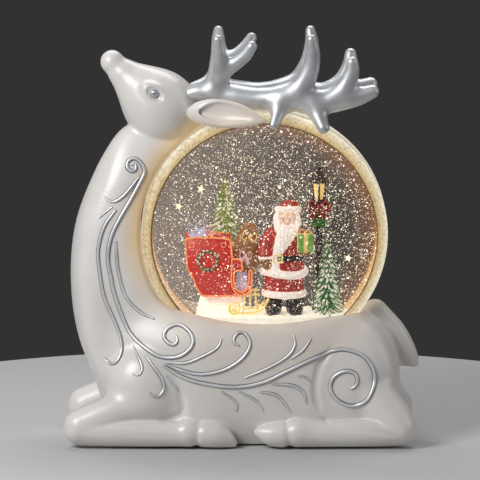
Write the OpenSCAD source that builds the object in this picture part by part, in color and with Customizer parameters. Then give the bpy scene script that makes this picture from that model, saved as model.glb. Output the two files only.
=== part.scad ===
// Lighted reindeer snow globe: a hollow reindeer housing that holds a round water globe.
// Row frame in millimetres: +Z up, the reindeer looks towards -X, its left side faces -Y,
// and the origin is on the resting plane under the middle of the object.

/* [Globe] */
// Outer radius of the globe's rim
globe_r = 77.5; // [76:0.5:78]
// Radius of the edge where the rim's bevel meets the domed face
window_r = 71; // [70:0.5:72]
// Half thickness of the globe at its crown
crown_half = 33; // [31:0.5:34]
// Half thickness of the globe at the edge of the domed face
window_half = 21; // [20:0.5:22]
// Half width of the straight band around the rim
rim_half = 13; // [12:0.5:14]
// Wall thickness of the two clear globe shells
globe_wall = 2.5; // [2:0.1:3]
// Distance of the globe's centre from the middle of the object, towards the tail
globe_x = 14; // [13.5:0.5:14.5]
// Height of the globe's centre above the resting plane
globe_z = 131; // [130.5:0.5:131.5]

/* [Housing] */
// Wall thickness of the moulded housing
wall = 2.6; // [2.2:0.2:3]
// Clearance between the globe and its seat
seat_gap = 0.5; // [0.4:0.1:0.8]
// Radius of the saddle curve along the reindeer's back
saddle_r = 150; // [145:1:155]

/* [Base] */
// Height of the rubber feet
foot_h = 2.5; // [2.5:0.1:2.8]
// Thickness of the base plate
plate_t = 2.5; // [2:0.1:2.5]
// Running clearance of the turning parts on their pins, on the radius
running_gap = 0.06; // [0.04:0.01:0.08]

/* [Scene] */
// Height of the snow surface that the figures stand on
ground_z = 79; // [78:0.5:80]
// Height of the snow mound under the sleigh
mound_z = 91; // [90:0.5:92]

/* [Hidden] */

left = -1;
right = 1;
eps = 0.01;
far = 400;
floor_z = 1;          // lowest edge of the housing, just clear of the table
floor_t = 3;          // thickness of the housing's floor flange
fine_fn = 64;
ball_fn = 20;         // facets of the balls that the housing is hulled from
twig_fn = 14;         // facets of the balls in the antlers
plate_z = foot_h;
plate_top = plate_z + plate_t;

// The domed face is part of a sphere through the crown and the window edge.
crown_rise = crown_half - window_half;
dome_r = (window_r * window_r + crown_rise * crown_rise) / (2 * crown_rise);

// Port under the globe, closed by the plug that carries the impeller.
port_r = 21;
port_bore_r = 18.5;
port_bottom = 47;
port_top = 66;
plug_top = 55;
plug_web = 3;
flange_r = 23;
flange_t = 3;
recess_r = 11.5;

// Drive line on the vertical axis under the globe's centre.
pin_r = 1;
pin_top = 64.4;
impeller_r = 14;
hub_r = 4;
magnet_r = 2.5;
magnet_h = 1.9;
magnet_ring_r = 6;
magnet_disc_r = 9.5;
shaft_r = 1;
can_r = 12;
can_bottom = 24;
can_top = 42;
carrier_bottom = 45.6;
carrier_top = 51;

// Battery bay for three AA cells lying along X.
cell_r = 7.1;
cell_len = 50;
cell_pitch = 15.2;
bay_x = [-62, -4];
bay_half_y = 24;
bay_top = 20;
bay_wall = 2;
cell_z = 12;
door_gap = 0.4;
door_t = 2;
door_screw_x = -33;

// Balls of the reindeer's form: [x, y, z, radius], with y on the left side.
muzzle = [[-82.6, 0, 239.2, 7.2], [-76.5, 0, 234, 8.8], [-66, 0, 225, 13.5], [-52.5, 0, 211.5, 22.5]];
neck = [[-57, 0, 198, 19], [-65, 0, 183, 20], [-73, 0, 163, 22], [-79, 0, 138, 26], [-78.5, 0, 110, 29],
        [-72, 0, 84, 33], [-62, 0, 58, 34]];
foreleg = [[-101.5, -37.5, 13, 10.5], [-84, -36, 20, 11.5], [-64, -30, 27, 14]];
shin = [[-101.5, -37.5, 12, 10.5], [-75, -40, 9.5, 8.8], [-30, -41, 9.3, 8.3]];
fore_hoof = [[-24, -41, 9.5, 8.6], [-17, -41.5, 9.5, 8], [-9, -42, 6, 4.6]];
hind_shank = [[84, -32, 30, 14], [98.5, -37.5, 13, 10.5]];
hind_cannon = [[98.5, -37.5, 12, 10.5], [70, -40, 9.6, 9], [34, -41, 9.3, 8.6]];
hind_hoof = [[28, -41.5, 9.3, 8], [20, -41.8, 8.6, 7], [9.5, -42, 8.6, 2.4]];
tail = [[78, 0, 78, 9], [94, 0, 67, 8], [104, 0, 56, 5.5], [110.4, 0, 47, 1.6]];
tail_under = [[96, 0, 50, 6], [104, 0, 56, 5.5], [110.4, 0, 47, 1.6]];
// Rounded masses of the trunk: [x, y, z, x radius, y radius, z radius].
trunk = [[-56, 0, 54, 32, 41, 38], [66, 0, 50, 34, 42, 38],
         [-52, 0, 14, 32, 43, 30], [64, 0, 14, 33, 43, 30]];
haunch = [73, -26, 38, 28, 21, 33];
shoulder = [-62, -25, 37, 26, 21, 30];
saddle_low = 76.5;
neck_depth = 1.2;      // the neck is this much deeper than it is wide
head_depth = 0.93;

// Antler balls: [x, y, z, radius] on the left side.
antler_peg = [-36, -7.5, 217.5, 3.2];
beam = [antler_peg, [-29, -8, 220.8, 4.5], [-19, -10, 220.8, 6.5], [-6, -12, 218.6, 7.4], [9, -14, 217, 6.9],
        [24, -16, 217.8, 7.5], [36.5, -17, 217, 7], [49, -18, 215.8, 6.4], [61.5, -18.5, 216.4, 6.2],
        [72.5, -19, 218.8, 5.2], [81.6, -20, 222.2, 3.6]];
tines = [
  [[-16, -11, 223.6, 6.5], [-15, -15, 233.6, 5.4], [-14.8, -21, 244.8, 4.4], [-15, -27, 256.4, 3]],
  [[-11.5, -16, 236, 4.5], [-4, -19, 240, 3.6], [3.2, -22.5, 245.8, 3.4], [7.2, -25, 251, 3]],
  [[32, -17, 219.2, 7.5], [38.4, -19, 226.5, 6.6], [43.5, -22, 237.2, 5.2], [45.4, -25, 247.8, 4.2],
   [44.7, -27, 255.8, 3]],
  [[58.6, -18.5, 218.2, 6], [65.5, -20, 225.4, 5.2], [69.6, -22, 233.9, 4.3], [70.2, -24, 240.7, 3.2]],
  [[22.7, -17, 214.6, 6], [22, -23.5, 207.8, 4.2], [20.2, -26.5, 203.4, 2.9]],
  [[44.7, -18, 214.4, 6.2], [47.3, -22.5, 207.6, 5], [49.5, -26, 201.8, 3.8]]
];
ear_peg = [-38, -13, 212, 2.5];
ear_root = [-31, -19, 212, 4];
eye = [-55.6, -19.6, 222.6];

base_screw_spots = [[-74, -11], [-74, 11], [38, -25], [38, 25], [80, -11], [80, 11]];
foot_spots = [[-69, -21.5], [-69, 21.5], [73, -21.5], [73, 21.5]];
led_count = 6;
led_ring_r = 28.7;
led_board_z = 44;
board_z = 12;
board_x = [44, 72];
board_half_y = 16;
switch_x = 62;

// ---- shared shapes ----

// Ball-chain: a smooth limb through the given balls, deeper or flatter in Y by the factor depth.
module limb(balls, depth = 1, inset = 0, fn = ball_fn)
  for (i = [0:len(balls) - 2])
    hull() {
      limb_ball(balls[i], depth, inset, fn);
      limb_ball(balls[i + 1], depth, inset, fn);
    }

module limb_ball(ball, depth, inset, fn)
  translate([ball[0], ball[1], ball[2]])
    scale([1, depth, 1])
      sphere(r = max(ball[3] - inset, 0.4), $fn = fn);

module mass_ball(m, inset = 0)
  translate([m[0], m[1], m[2]])
    scale([m[3] - inset, m[4] - inset, m[5] - inset])
      sphere(r = 1, $fn = 28);

module side_of(side)
  if (side == left) children();
  else mirror([0, 1, 0]) children();

module at_globe() translate([globe_x, 0, globe_z]) children();

module along_y(r, fn = 96) rotate([90, 0, 0]) cylinder(r = r, h = far, center = true, $fn = fn);

// Half of the globe's section: radius along x, thickness along y.
module globe_section(inset)
  intersection() {
    translate([0, crown_half - dome_r]) circle(r = dome_r - inset, $fn = 256);
    polygon([[0, 0], [globe_r - inset, 0], [globe_r - inset, rim_half - inset / 2],
             [window_r - inset / 2, window_half - inset / 2], [window_r - inset / 2, far / 4], [0, far / 4]]);
  }

// The front half of the globe's form, from the seam at y = 0 towards -Y.
module globe_half_form(inset, fn = fine_fn)
  at_globe() rotate([90, 0, 0]) rotate_extrude($fn = fn) globe_section(inset);

// The whole form without a seam, for cutting the seat.
module globe_seat_form(inset, fn = 80)
  at_globe() rotate([90, 0, 0]) rotate_extrude($fn = fn)
    for (m = [0, 1]) mirror([0, m]) translate([0, -m * 0.2]) globe_section(inset);

// Sweep of a round wire along a list of points, closed at both ends.
function unit(v) = v / norm(v);
function wire_side(t) = unit(cross(t, abs(t[2]) < 0.9 ? [0, 0, 1] : [1, 0, 0]));
function wire_tangent(p, i) = unit(p[min(i + 1, len(p) - 1)] - p[max(i - 1, 0)]);
function wire_ring(p, i, r, n) =
  let (t = wire_tangent(p, i), a = wire_side(t), b = cross(t, a))
  [for (k = [0:n - 1]) p[i] + r * (cos(360 * k / n) * a + sin(360 * k / n) * b)];
module wire(p, r, n = 6) {
  rings = len(p);
  points = [for (i = [0:rings - 1]) each wire_ring(p, i, r, n)];
  sides = [for (i = [0:rings - 2], k = [0:n - 1], half = [0, 1])
    half == 0 ? [i * n + k, i * n + (k + 1) % n, (i + 1) * n + (k + 1) % n]
              : [i * n + k, (i + 1) * n + (k + 1) % n, (i + 1) * n + k]];
  first_end = [for (k = [n - 1:-1:0]) k];
  last_end = [for (k = [0:n - 1]) (rings - 1) * n + k];
  polyhedron(points, concat([first_end], sides, [last_end]));
}

// ---- reindeer housing ----

module head_and_neck(inset)
  difference() {
    union() {
      limb(muzzle, head_depth, inset);
      limb(neck, neck_depth, inset);
    }
    at_globe() along_y(globe_r + seat_gap + inset + 0.3);
  }

module trunk_form(inset)
  difference() {
    union() {
      hull() for (m = trunk) mass_ball(m, inset);
      mass_ball(haunch, inset);
      mass_ball(shoulder, inset);
      if (inset == 0) limb(tail, 0.8);
      if (inset == 0) limb(tail_under, 0.6);
    }
    translate([globe_x, 0, saddle_low + saddle_r]) along_y(saddle_r + inset, 160);
  }

module legs()
  for (part = [foreleg, shin, fore_hoof, hind_shank, hind_cannon, hind_hoof]) limb(part);

module housing_form(inset)
  difference() {
    union() {
      head_and_neck(inset);
      trunk_form(inset);
      if (inset == 0) legs();
    }
    globe_seat_form(-seat_gap - inset);
    translate([-far / 2, -far / 2, -far]) cube([far, far, far + (inset == 0 ? floor_z : floor_z + floor_t)]);
  }

// Opening in the floor that the base plate fills.
module floor_outline(gap)
  hull()
    for (x = [-68, 72], y = [-18, 18])
      translate([x, y]) circle(r = 12 + gap, $fn = 32);

// Posts inside the housing that the base screws bite into, tied to the nearest wall.
module screw_posts()
  for (s = base_screw_spots)
    if (s[1] < 0) {
      translate([s[0], s[1], plate_top]) cylinder(r = 4.5, h = 12, $fn = 24);
      if (abs(s[0]) < 50) translate([s[0] - 1.5, -42, plate_top]) cube([3, 16, 12]);
      else translate([s[0] < 0 ? -92 : 82, s[1] - 1.5, plate_top]) cube([16, 3, 12]);
    }

module body_shell_half()
  intersection() {
    difference() {
      union() {
        difference() {
          housing_form(0);
          housing_form(wall);
        }
        intersection() {
          screw_posts();
          housing_form(1);
        }
      }
      translate([0, 0, -eps]) linear_extrude(plate_top + eps) floor_outline(0.4);
      at_globe() translate([0, 0, -globe_z + 30]) cylinder(r = 35, h = 38, $fn = 48);
      for (s = base_screw_spots)
        translate([s[0], s[1], 0]) cylinder(r = 1.6, h = 15.5, $fn = 24);
      hull() {
        limb_ball(beam[0], 1, -0.4, twig_fn);
        limb_ball(beam[1], 1, -0.4, twig_fn);
      }
      hull() {
        limb_ball(ear_peg, 1, -0.4, twig_fn);
        limb_ball(ear_root, 1, -0.4, twig_fn);
      }
      translate(eye) sphere(r = 3.4, $fn = 20);
    }
    translate([-far / 2, -far, 0]) cube([far, far, far]);
  }

module body_shell(side) color([0.93, 0.92, 0.89]) side_of(side) union() body_shell_half();

module antler(side)
  color([0.62, 0.64, 0.67])
    side_of(side)
      union() {
        limb(beam, 1, 0, twig_fn);
        for (tine = tines) limb(tine, 1, 0, twig_fn);
      }

// Leaf-shaped ear with a scooped face, held by a short peg in the head.
module ear(side)
  color([0.93, 0.92, 0.89])
    side_of(side)
      union() {
        hull() {
          limb_ball(ear_peg, 1, 0, twig_fn);
          limb_ball(ear_root, 1, 0, twig_fn);
        }
        difference() {
          hull() {
            limb_ball(ear_root, 1, 0, twig_fn);
            translate([-16, -25.5, 211.4]) scale([17, 3, 9.4]) sphere(1, $fn = 20);
            translate([14, -29, 207.4]) sphere(2, $fn = 12);
          }
          translate([-12, -30.5, 211]) rotate([0, 4, 4]) scale([19, 4.4, 6.6]) sphere(1, $fn = 20);
        }
      }

module eye_bead(side) color([0.55, 0.58, 0.62]) side_of(side) translate(eye) sphere(r = 3, $fn = 32);

// ---- water globe ----

module front_globe_half()
  difference() {
    union() {
      globe_half_form(0);
      intersection() {
        translate([globe_x, 0, port_bottom]) cylinder(r = port_r, h = port_top - port_bottom, $fn = fine_fn);
        translate([-far / 2, -far, 0]) cube([far, far, far]);
      }
    }
    globe_half_form(globe_wall);
    translate([globe_x, 0, port_bottom - eps])
      cylinder(r = port_bore_r, h = port_top - port_bottom, $fn = fine_fn);
  }

module front_globe_shell() color([0.9, 0.95, 1, 0.3]) front_globe_half();

module rear_globe_shell() color([0.9, 0.95, 1, 0.3]) mirror([0, 1, 0]) front_globe_half();

// The fluid above the snow, with room left round the figures.
module globe_fluid()
  color([0.8, 0.9, 1, 0.15])
    difference() {
      for (side = [left, right]) side_of(side) globe_half_form(globe_wall + 0.3);
      translate([-far / 2, -far / 2, 0]) cube([far, far, ground_z + 0.3]);
      translate([-37, -19, 0]) cube([55, 45, 141]);
      translate([-21, 4, 0]) cube([20, 20, 166]);
      translate([5, -19.6, 0]) cube([47, 30.1, 157]);
      translate([41, -19, 0]) cube([26, 30, 129]);
      translate([40, 0, 0]) cube([17, 16, 174]);
    }

module port_plug()
  color([0.3, 0.3, 0.32])
    translate([globe_x, 0, 0])
      difference() {
        union() {
          translate([0, 0, port_bottom])
            cylinder(r = port_bore_r - 0.3, h = plug_top - port_bottom, $fn = fine_fn);
          translate([0, 0, port_bottom - flange_t]) cylinder(r = flange_r, h = flange_t, $fn = fine_fn);
        }
        translate([0, 0, port_bottom - flange_t - eps])
          cylinder(r = recess_r, h = plug_top - plug_web - port_bottom + flange_t, $fn = fine_fn);
        translate([0, 0, plug_top - 2]) cylinder(r = pin_r + 0.01, h = 3, $fn = fine_fn);
        translate([0, 0, 50]) rotate_extrude($fn = fine_fn) translate([16.6, 0]) square([3, 2]);
      }

module port_oring()
  color([0.1, 0.1, 0.1])
    translate([globe_x, 0, 51])
      rotate_extrude($fn = fine_fn) translate([17.55, 0]) circle(r = 0.85, $fn = 24);

module impeller_pin()
  color([0.8, 0.8, 0.82])
    translate([globe_x, 0, plug_top - 2]) cylinder(r = pin_r, h = pin_top - plug_top + 2, $fn = fine_fn);

module magnet_pockets(z, h, gap)
  for (x = [-magnet_ring_r, magnet_ring_r])
    translate([globe_x + x, 0, z]) cylinder(r = magnet_r + gap, h = h, $fn = 32);

module impeller()
  color([0.95, 0.95, 0.95])
    difference() {
      translate([globe_x, 0, 0])
        union() {
          translate([0, 0, plug_top + 0.8]) cylinder(r = magnet_disc_r, h = 2.6, $fn = fine_fn);
          translate([0, 0, plug_top + 3]) cylinder(r = hub_r, h = 5.6, $fn = fine_fn);
          for (a = [0:90:270])
            rotate([0, 0, a]) translate([hub_r - 1, 0, plug_top + 5.9]) rotate([28, 0, 0])
              translate([0, -0.6, -2.2]) cube([impeller_r - hub_r, 1.2, 4.4]);
        }
      translate([globe_x, 0, plug_top]) cylinder(r = pin_r + running_gap, h = 12, $fn = fine_fn);
      magnet_pockets(plug_top, 0.8 + magnet_h, 0.02);
    }

module impeller_magnets() color([0.6, 0.6, 0.62]) magnet_pockets(plug_top + 0.8, magnet_h - 0.05, 0);

// Slotted cover between the impeller and the snow.
module impeller_guard()
  color([0.95, 0.95, 0.95])
    translate([globe_x, 0, pin_top + 0.3])
      difference() {
        cylinder(r = 17.6, h = 1.2, $fn = fine_fn);
        for (a = [0:60:300]) rotate([0, 0, a]) translate([6, -1.5, -1]) cube([9, 3, 4]);
      }

// ---- scene inside the globe ----

module snow_ground()
  color([1, 1, 0.97])
    difference() {
      union() {
        intersection() {
          for (side = [left, right]) side_of(side) globe_half_form(globe_wall + 0.4);
          translate([-far / 2, -far / 2, pin_top + 2]) cube([far, far, ground_z - pin_top - 2]);
        }
        translate([-16, -1, ground_z - 1])
          cylinder(r1 = 18, r2 = 15.5, h = mound_z - ground_z + 1, $fn = fine_fn);
      }
      translate([-10.7, 16.2, ground_z]) cylinder(r = 7.4, h = far, $fn = 48);
    }

santa_at = [26.5, -4, ground_z];

// Bearded figure in a long coat: boots, skirt, coat, arms, head and hat.
module santa_figure()
  color([0.75, 0.1, 0.1])
    translate(santa_at)
      union() {
        for (x = [-6, 6]) translate([x, 0, 0]) cylinder(r = 6.4, h = 11, $fn = 40);
        rotate_extrude($fn = fine_fn)
          polygon([[0, 9], [12.6, 9], [12.8, 14], [12, 21], [13.6, 22.5], [13.4, 28.5], [10.6, 35], [9.4, 40],
                   [9.6, 48], [6, 56], [0, 56]]);
        translate([0, -1, 60]) sphere(r = 8.2, $fn = 40);
        translate([1, 0, 65]) cylinder(r1 = 7.2, r2 = 3.2, h = 8.6, $fn = 40);
        translate([-9.4, 0, 50]) rotate([0, 205, 0]) cylinder(r1 = 4.6, r2 = 3.4, h = 17, $fn = 32);
        translate([9.2, -1, 50]) rotate([0, 152, 0]) cylinder(r1 = 4.4, r2 = 3.2, h = 12, $fn = 32);
        translate([10.6, -8.1, 42]) cube([5, 5, 5]);
      }

module held_gift() color([0.3, 0.55, 0.25]) translate([34.8, -18.8, 120.4]) cube([9.6, 6.6, 11.4]);

sleigh_at = [-16, -2, mound_z];

// Tub of the sleigh: a tall flared back and a low front, open at the top.
module sleigh_body()
  color([0.75, 0.1, 0.1])
    translate(sleigh_at + [0, 0, 2.6])
      difference() {
        translate([0, 11, 0]) rotate([90, 0, 0]) linear_extrude(24)
          polygon([[-12, 0], [24, 0], [26.6, 5], [27, 12], [20, 15], [14.5, 33], [-19.5, 33], [-18, 18]]);
        translate([0, 9.2, 2]) rotate([90, 0, 0]) linear_extrude(20.4)
          polygon([[-10.6, 0], [23, 0], [25, 4], [25, far], [-18, far], [-16.4, 18]]);
      }

module sleigh_runners()
  color([0.85, 0.65, 0.25])
    for (y = [-10, 7])
      translate(sleigh_at + [0, y, 0]) {
        translate([-12, -1, 0]) cube([24, 2, 1.4]);
        for (x = [-8, 8]) translate([x - 1, -1, 1.4]) cube([2, 2, 1.2]);
      }

module sleigh_gifts()
  color([0.7, 0.75, 0.9]) {
    translate([-31.8, -10.5, 120]) cube([9, 8, 10]);
    translate([-22.2, -9, 117]) cube([8, 8, 12]);
    translate([-31.8, 0.5, 113]) cube([9, 6, 14]);
  }

module toy_sack()
  color([0.45, 0.26, 0.1])
    translate([-2.2, -1.5, 96.2])
      rotate_extrude($fn = 48)
        polygon([[0, 0], [6.2, 0], [8, 8], [8.2, 20], [6.6, 28], [3, 32.5], [6, 39], [0, 39]]);

// Stepped cone of boughs on a short trunk.
module pine_tree(at, height, radius, tiers)
  translate(at)
    rotate_extrude($fn = 48)
      polygon(concat([[0, 0], [1.6, 0], [1.6, 4]],
        [for (i = [0:tiers - 1]) each [
          [radius * (1 - i / tiers), 4 + (height - 4) * i / tiers],
          [radius * (1 - (i + 1) / tiers) * 0.75 + 0.4, 4 + (height - 4) * (i + 0.92) / tiers]]],
        [[0, height]]));

module back_pine_tree() color([0.2, 0.4, 0.15]) pine_tree([-10.7, 16.2, ground_z], 84, 6.8, 9);

module front_pine_tree() color([0.2, 0.4, 0.15]) pine_tree([53.9, -7, ground_z], 48, 11, 6);

lamp_at = [48.5, 9, ground_z];

module lamp_post()
  color([0.08, 0.08, 0.08])
    translate(lamp_at)
      union() {
        cylinder(r1 = 4, r2 = 2.4, h = 5, $fn = 32);
        cylinder(r = 1.7, h = 72, $fn = 32);
        translate([0, 0, 71]) cylinder(r = 4.9, h = 1.2, $fn = 32);
        for (a = [45:90:315])
          rotate([0, 0, a]) translate([4.4, 0, 71.6]) rotate([0, 5, 0]) cylinder(r = 0.45, h = 11, $fn = 16);
        translate([0, 0, 82.1]) cylinder(r1 = 6.4, r2 = 1.2, h = 7, $fn = 32);
        translate([0, 0, 88.8]) cylinder(r1 = 1.2, r2 = 0.4, h = 4.4, $fn = 32);
      }

module lamp_glass()
  color([1, 0.85, 0.5]) translate(lamp_at + [0, 0, 72.2]) cylinder(r1 = 3.4, r2 = 4.8, h = 9.8, $fn = 32);

module lamp_bow()
  color([0.6, 0.1, 0.1])
    translate(lamp_at + [0, -2, 66])
      rotate([90, 0, 0]) linear_extrude(3.4)
        polygon([[-6.4, -3], [-1.4, -1], [-4.4, -8], [0, -2.4], [4.4, -8], [1.4, -1], [6.4, -3], [6.4, 3.2],
                 [1.4, 1.2], [-1.4, 1.2], [-6.4, 3.2]]);

// ---- base, power and drive ----

module base_plate()
  color([0.9, 0.89, 0.86])
    difference() {
      union() {
        translate([0, 0, plate_z]) linear_extrude(plate_t)
          union() {
            for (x = [-68, 72], y = [-18, 18]) translate([x, y]) circle(r = 12, $fn = fine_fn);
            translate([-68, -30]) square([140, 60]);
            translate([-80, -18]) square([164, 36]);
          }
        translate([bay_x[0] - bay_wall, -bay_half_y - bay_wall, plate_top - eps])
          cube([bay_x[1] - bay_x[0] + 2 * bay_wall, 2 * (bay_half_y + bay_wall),
                bay_top + bay_wall - plate_top]);
        for (x = [board_x[0] + 3, board_x[1] - 3], y = [-1, 1])
          translate([x, y * (board_half_y - 3), plate_top - eps])
            cylinder(r = 2.2, h = board_z - plate_top, $fn = 32);
        for (p = [[globe_x, -led_ring_r], [globe_x, led_ring_r]])
          translate([p[0], p[1], plate_top - eps]) cylinder(r = 2.4, h = led_board_z - plate_top, $fn = 32);
        translate([globe_x - led_ring_r, 0, bay_top]) cylinder(r = 2.4, h = led_board_z - bay_top, $fn = 32);
      }
      translate([bay_x[0], -bay_half_y, 0]) cube([bay_x[1] - bay_x[0], 2 * bay_half_y, bay_top]);
      for (s = base_screw_spots) translate([s[0], s[1], 0]) cylinder(r = 1.7, h = 10, $fn = 32);
      translate([switch_x - 4.5, -1.6, 0]) cube([9, 3.2, 10]);
    }

module pan_screw(at, head_r, head_h, shank_r, shank_l)
  translate(at)
    difference() {
      union() {
        cylinder(r = head_r, h = head_h, $fn = 32);
        cylinder(r = shank_r, h = head_h + shank_l, $fn = 32);
      }
      for (a = [0, 90]) rotate([0, 0, a]) translate([-head_r * 0.6, -0.3, -1]) cube([head_r * 1.2, 0.6, 1.7]);
    }

module base_screws()
  color([0.75, 0.75, 0.77])
    for (s = base_screw_spots) pan_screw([s[0], s[1], plate_z - 1.4], 2.8, 1.4, 1.45, 11);

module rubber_feet()
  color([0.15, 0.15, 0.15])
    for (s = foot_spots) translate([s[0], s[1], 0]) cylinder(r = 6, h = foot_h, $fn = fine_fn);

// Each cell lies the other way round from its neighbour: flip is 1 with the nub at +X.
function cell_flip(i) = i == 0 ? -1 : 1;
module each_cell()
  for (i = [-1:1])
    translate([(bay_x[0] + bay_x[1]) / 2, i * cell_pitch, cell_z])
      rotate([0, 0, cell_flip(i) > 0 ? 0 : 180])
        children();

module battery_cells()
  color([0.85, 0.6, 0.2])
    each_cell() rotate([0, 90, 0]) union() {
      translate([0, 0, -cell_len / 2]) cylinder(r = cell_r, h = cell_len - 1.2, $fn = 48);
      translate([0, 0, cell_len / 2 - 1.3]) cylinder(r = 2.7, h = 1.3, $fn = 32);
    }

// Cone-shaped coils that press on each cell's flat end.
spring_turns = 2.6;
module battery_springs()
  color([0.8, 0.8, 0.8])
    each_cell()
      wire([for (t = [0:0.1:spring_turns])
              let (r = 4.6 - 1.1 * t)
              [-28.3 + 2.9 * t / spring_turns, r * cos(360 * t), r * sin(360 * t)]], 0.3, 5);

module battery_contacts()
  color([0.8, 0.8, 0.8])
    each_cell() {
      translate([25.05, -4.5, -5]) cube([0.5, 9, 10]);
      translate([-28.95, -5, -5.4]) cube([0.3, 10, 10.8]);
    }

module battery_door()
  color([0.9, 0.89, 0.86])
    difference() {
      translate([bay_x[0] + door_gap, -bay_half_y + door_gap, plate_z])
        cube([bay_x[1] - bay_x[0] - 2 * door_gap, 2 * (bay_half_y - door_gap), door_t]);
      translate([door_screw_x, -cell_pitch / 2, 0]) cylinder(r = 1.3, h = 10, $fn = 32);
      for (i = [0:4]) translate([-14 - 2.4 * i, -8, plate_z - eps]) cube([1.2, 16, 0.6]);
    }

module battery_door_screw()
  color([0.75, 0.75, 0.77]) pan_screw([door_screw_x, -cell_pitch / 2, plate_z - 1.2], 2.4, 1.2, 1.2, 2.4);

module on_axis(z) translate([globe_x, 0, z]) children();

module motor_cradle()
  color([0.9, 0.89, 0.86])
    difference() {
      on_axis(plate_top) cylinder(r = 14.6, h = 27, $fn = fine_fn);
      on_axis(can_bottom - 2) cylinder(r = can_r + 0.1, h = 40, $fn = fine_fn);
      on_axis(plate_top - 1) cylinder(r = 9, h = 40, $fn = fine_fn);
      on_axis(plate_top + 3) translate([-20, -8, 0]) cube([40, 16, 12]);
    }

module motor_can()
  color([0.75, 0.75, 0.77])
    difference() {
      on_axis(can_bottom - 2) cylinder(r = can_r, h = can_top - can_bottom + 2, $fn = fine_fn);
      on_axis(can_bottom) cylinder(r = can_r - 0.8, h = can_top - can_bottom - 0.8, $fn = fine_fn);
      on_axis(can_bottom - 3) cylinder(r = shaft_r + 0.3, h = 4, $fn = 32);
      on_axis(can_top - 2) cylinder(r = 3, h = 4, $fn = 32);
    }

module motor_stator_magnets()
  color([0.25, 0.25, 0.27])
    difference() {
      on_axis(can_bottom + 1) cylinder(r = can_r - 0.9, h = 15, $fn = fine_fn);
      on_axis(can_bottom) cylinder(r = 8.9, h = 20, $fn = fine_fn);
      on_axis(can_bottom) translate([-20, -4, 0]) cube([40, 8, 20]);
    }

module motor_bush()
  color([0.75, 0.6, 0.3])
    difference() {
      on_axis(can_top - 0.8) cylinder(r = 2.98, h = 2.4, $fn = fine_fn);
      on_axis(can_top - 2) cylinder(r = shaft_r + running_gap, h = 8, $fn = fine_fn);
    }

// Armature, commutator and shaft turn as one.
module motor_rotor()
  color([0.6, 0.45, 0.3])
    union() {
      on_axis(can_bottom + 0.2) cylinder(r = shaft_r, h = 25.4, $fn = fine_fn);
      on_axis(can_bottom + 1) cylinder(r = 2.6, h = 3, $fn = fine_fn);
      difference() {
        on_axis(can_bottom + 5) cylinder(r = 8.2, h = 10, $fn = fine_fn);
        for (a = [60, 180, 300])
          on_axis(can_bottom + 4) rotate([0, 0, a]) translate([3.6, -1.3, 0]) cube([9, 2.6, 12]);
      }
    }

module drive_magnet_carrier()
  color([0.95, 0.95, 0.95])
    difference() {
      on_axis(carrier_bottom) cylinder(r = magnet_disc_r, h = carrier_top - carrier_bottom, $fn = fine_fn);
      on_axis(carrier_bottom - 1) cylinder(r = shaft_r + 0.01, h = 5.1, $fn = fine_fn);
      magnet_pockets(carrier_top - magnet_h, 4, 0.02);
    }

module drive_magnets()
  color([0.6, 0.6, 0.62]) magnet_pockets(carrier_top - magnet_h + 0.05, magnet_h - 0.05, 0);

module led_spots()
  for (i = [0:led_count - 1])
    on_axis(led_board_z) rotate([0, 0, 30 + i * 360 / led_count]) translate([led_ring_r, 0, 0]) children();

module led_board()
  color([0.15, 0.35, 0.2])
    difference() {
      on_axis(led_board_z) cylinder(r = 33, h = 1.6, $fn = fine_fn);
      on_axis(led_board_z - 1) cylinder(r = flange_r + 1.2, h = 4, $fn = fine_fn);
    }

module led_lamps()
  color([1, 0.9, 0.6])
    led_spots() translate([0, 0, 1.6]) union() {
      cylinder(r = 2.5, h = 2.6, $fn = 32);
      translate([0, 0, 2.4]) sphere(r = 2.3, $fn = 32);
    }

module control_board()
  color([0.15, 0.35, 0.2])
    translate([board_x[0], -board_half_y, board_z - eps])
      cube([board_x[1] - board_x[0], 2 * board_half_y, 1.6]);

module board_components()
  color([0.1, 0.1, 0.12])
    translate([0, 0, board_z + 1.6]) {
      translate([48, -11, 0]) cube([5, 4, 1.6]);
      translate([58, -12, 0]) cylinder(r = 2.5, h = 7, $fn = 32);
      translate([64, 7, 0]) cylinder(r = 2.5, h = 7, $fn = 32);
      for (y = [5, 8, 11]) translate([48, y, 0]) cube([6, 1.6, 1.4]);
    }

module switch_body()
  color([0.7, 0.7, 0.72])
    difference() {
      translate([switch_x - 5, -3, 7.6]) cube([10, 6, board_z - 7.6 - 0.02]);
      translate([switch_x - 4.2, -1.3, 7]) cube([8.4, 2.6, 2.6]);
    }

module switch_knob() color([0.1, 0.1, 0.1]) translate([switch_x - 1.2, -1, foot_h - 0.9]) cube([2.4, 2, 7.6]);

lead_r = 0.6;
module battery_leads()
  color([0.8, 0.1, 0.1])
    for (y = [-1, 1])
      wire([[bay_x[1] + 2.1, y * 21, 18], [2, y * 21, 18], [8, y * 21, 16], [20, y * 21, 11], [31, y * 20, 9],
            [38, y * 15, 12.6], [42.4, y * 10, 15.6], [45.6, y * 5.6, 16], [49, y * 2.5, 16.4],
            [50, y * 2.5, 14.2]], lead_r);

module motor_leads()
  color([0.2, 0.2, 0.8])
    for (y = [-1, 1])
      wire([[globe_x + 6, y * 4, 21.6], [globe_x + 8, y * 4.6, 18], [globe_x + 12, y * 6, 15],
            [33, y * 7.6, 15], [41, y * 8, 18.6], [54, y * 8, 18.6], [56.4, y * 5, 17.2],
            [57, y * 4, 14.2]], lead_r);

module led_leads()
  color([0.9, 0.9, 0.9])
    for (y = [-1, 1])
      wire([[globe_x + 26, y * 9, led_board_z - 0.1], [globe_x + 27, y * 9, 38],
            [globe_x + 30, y * 10, 30], [54, y * 10, 24], [64, y * 4, 22], [66, y * 2, 20],
            [66, y * 2, 14.2]], lead_r);

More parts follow.
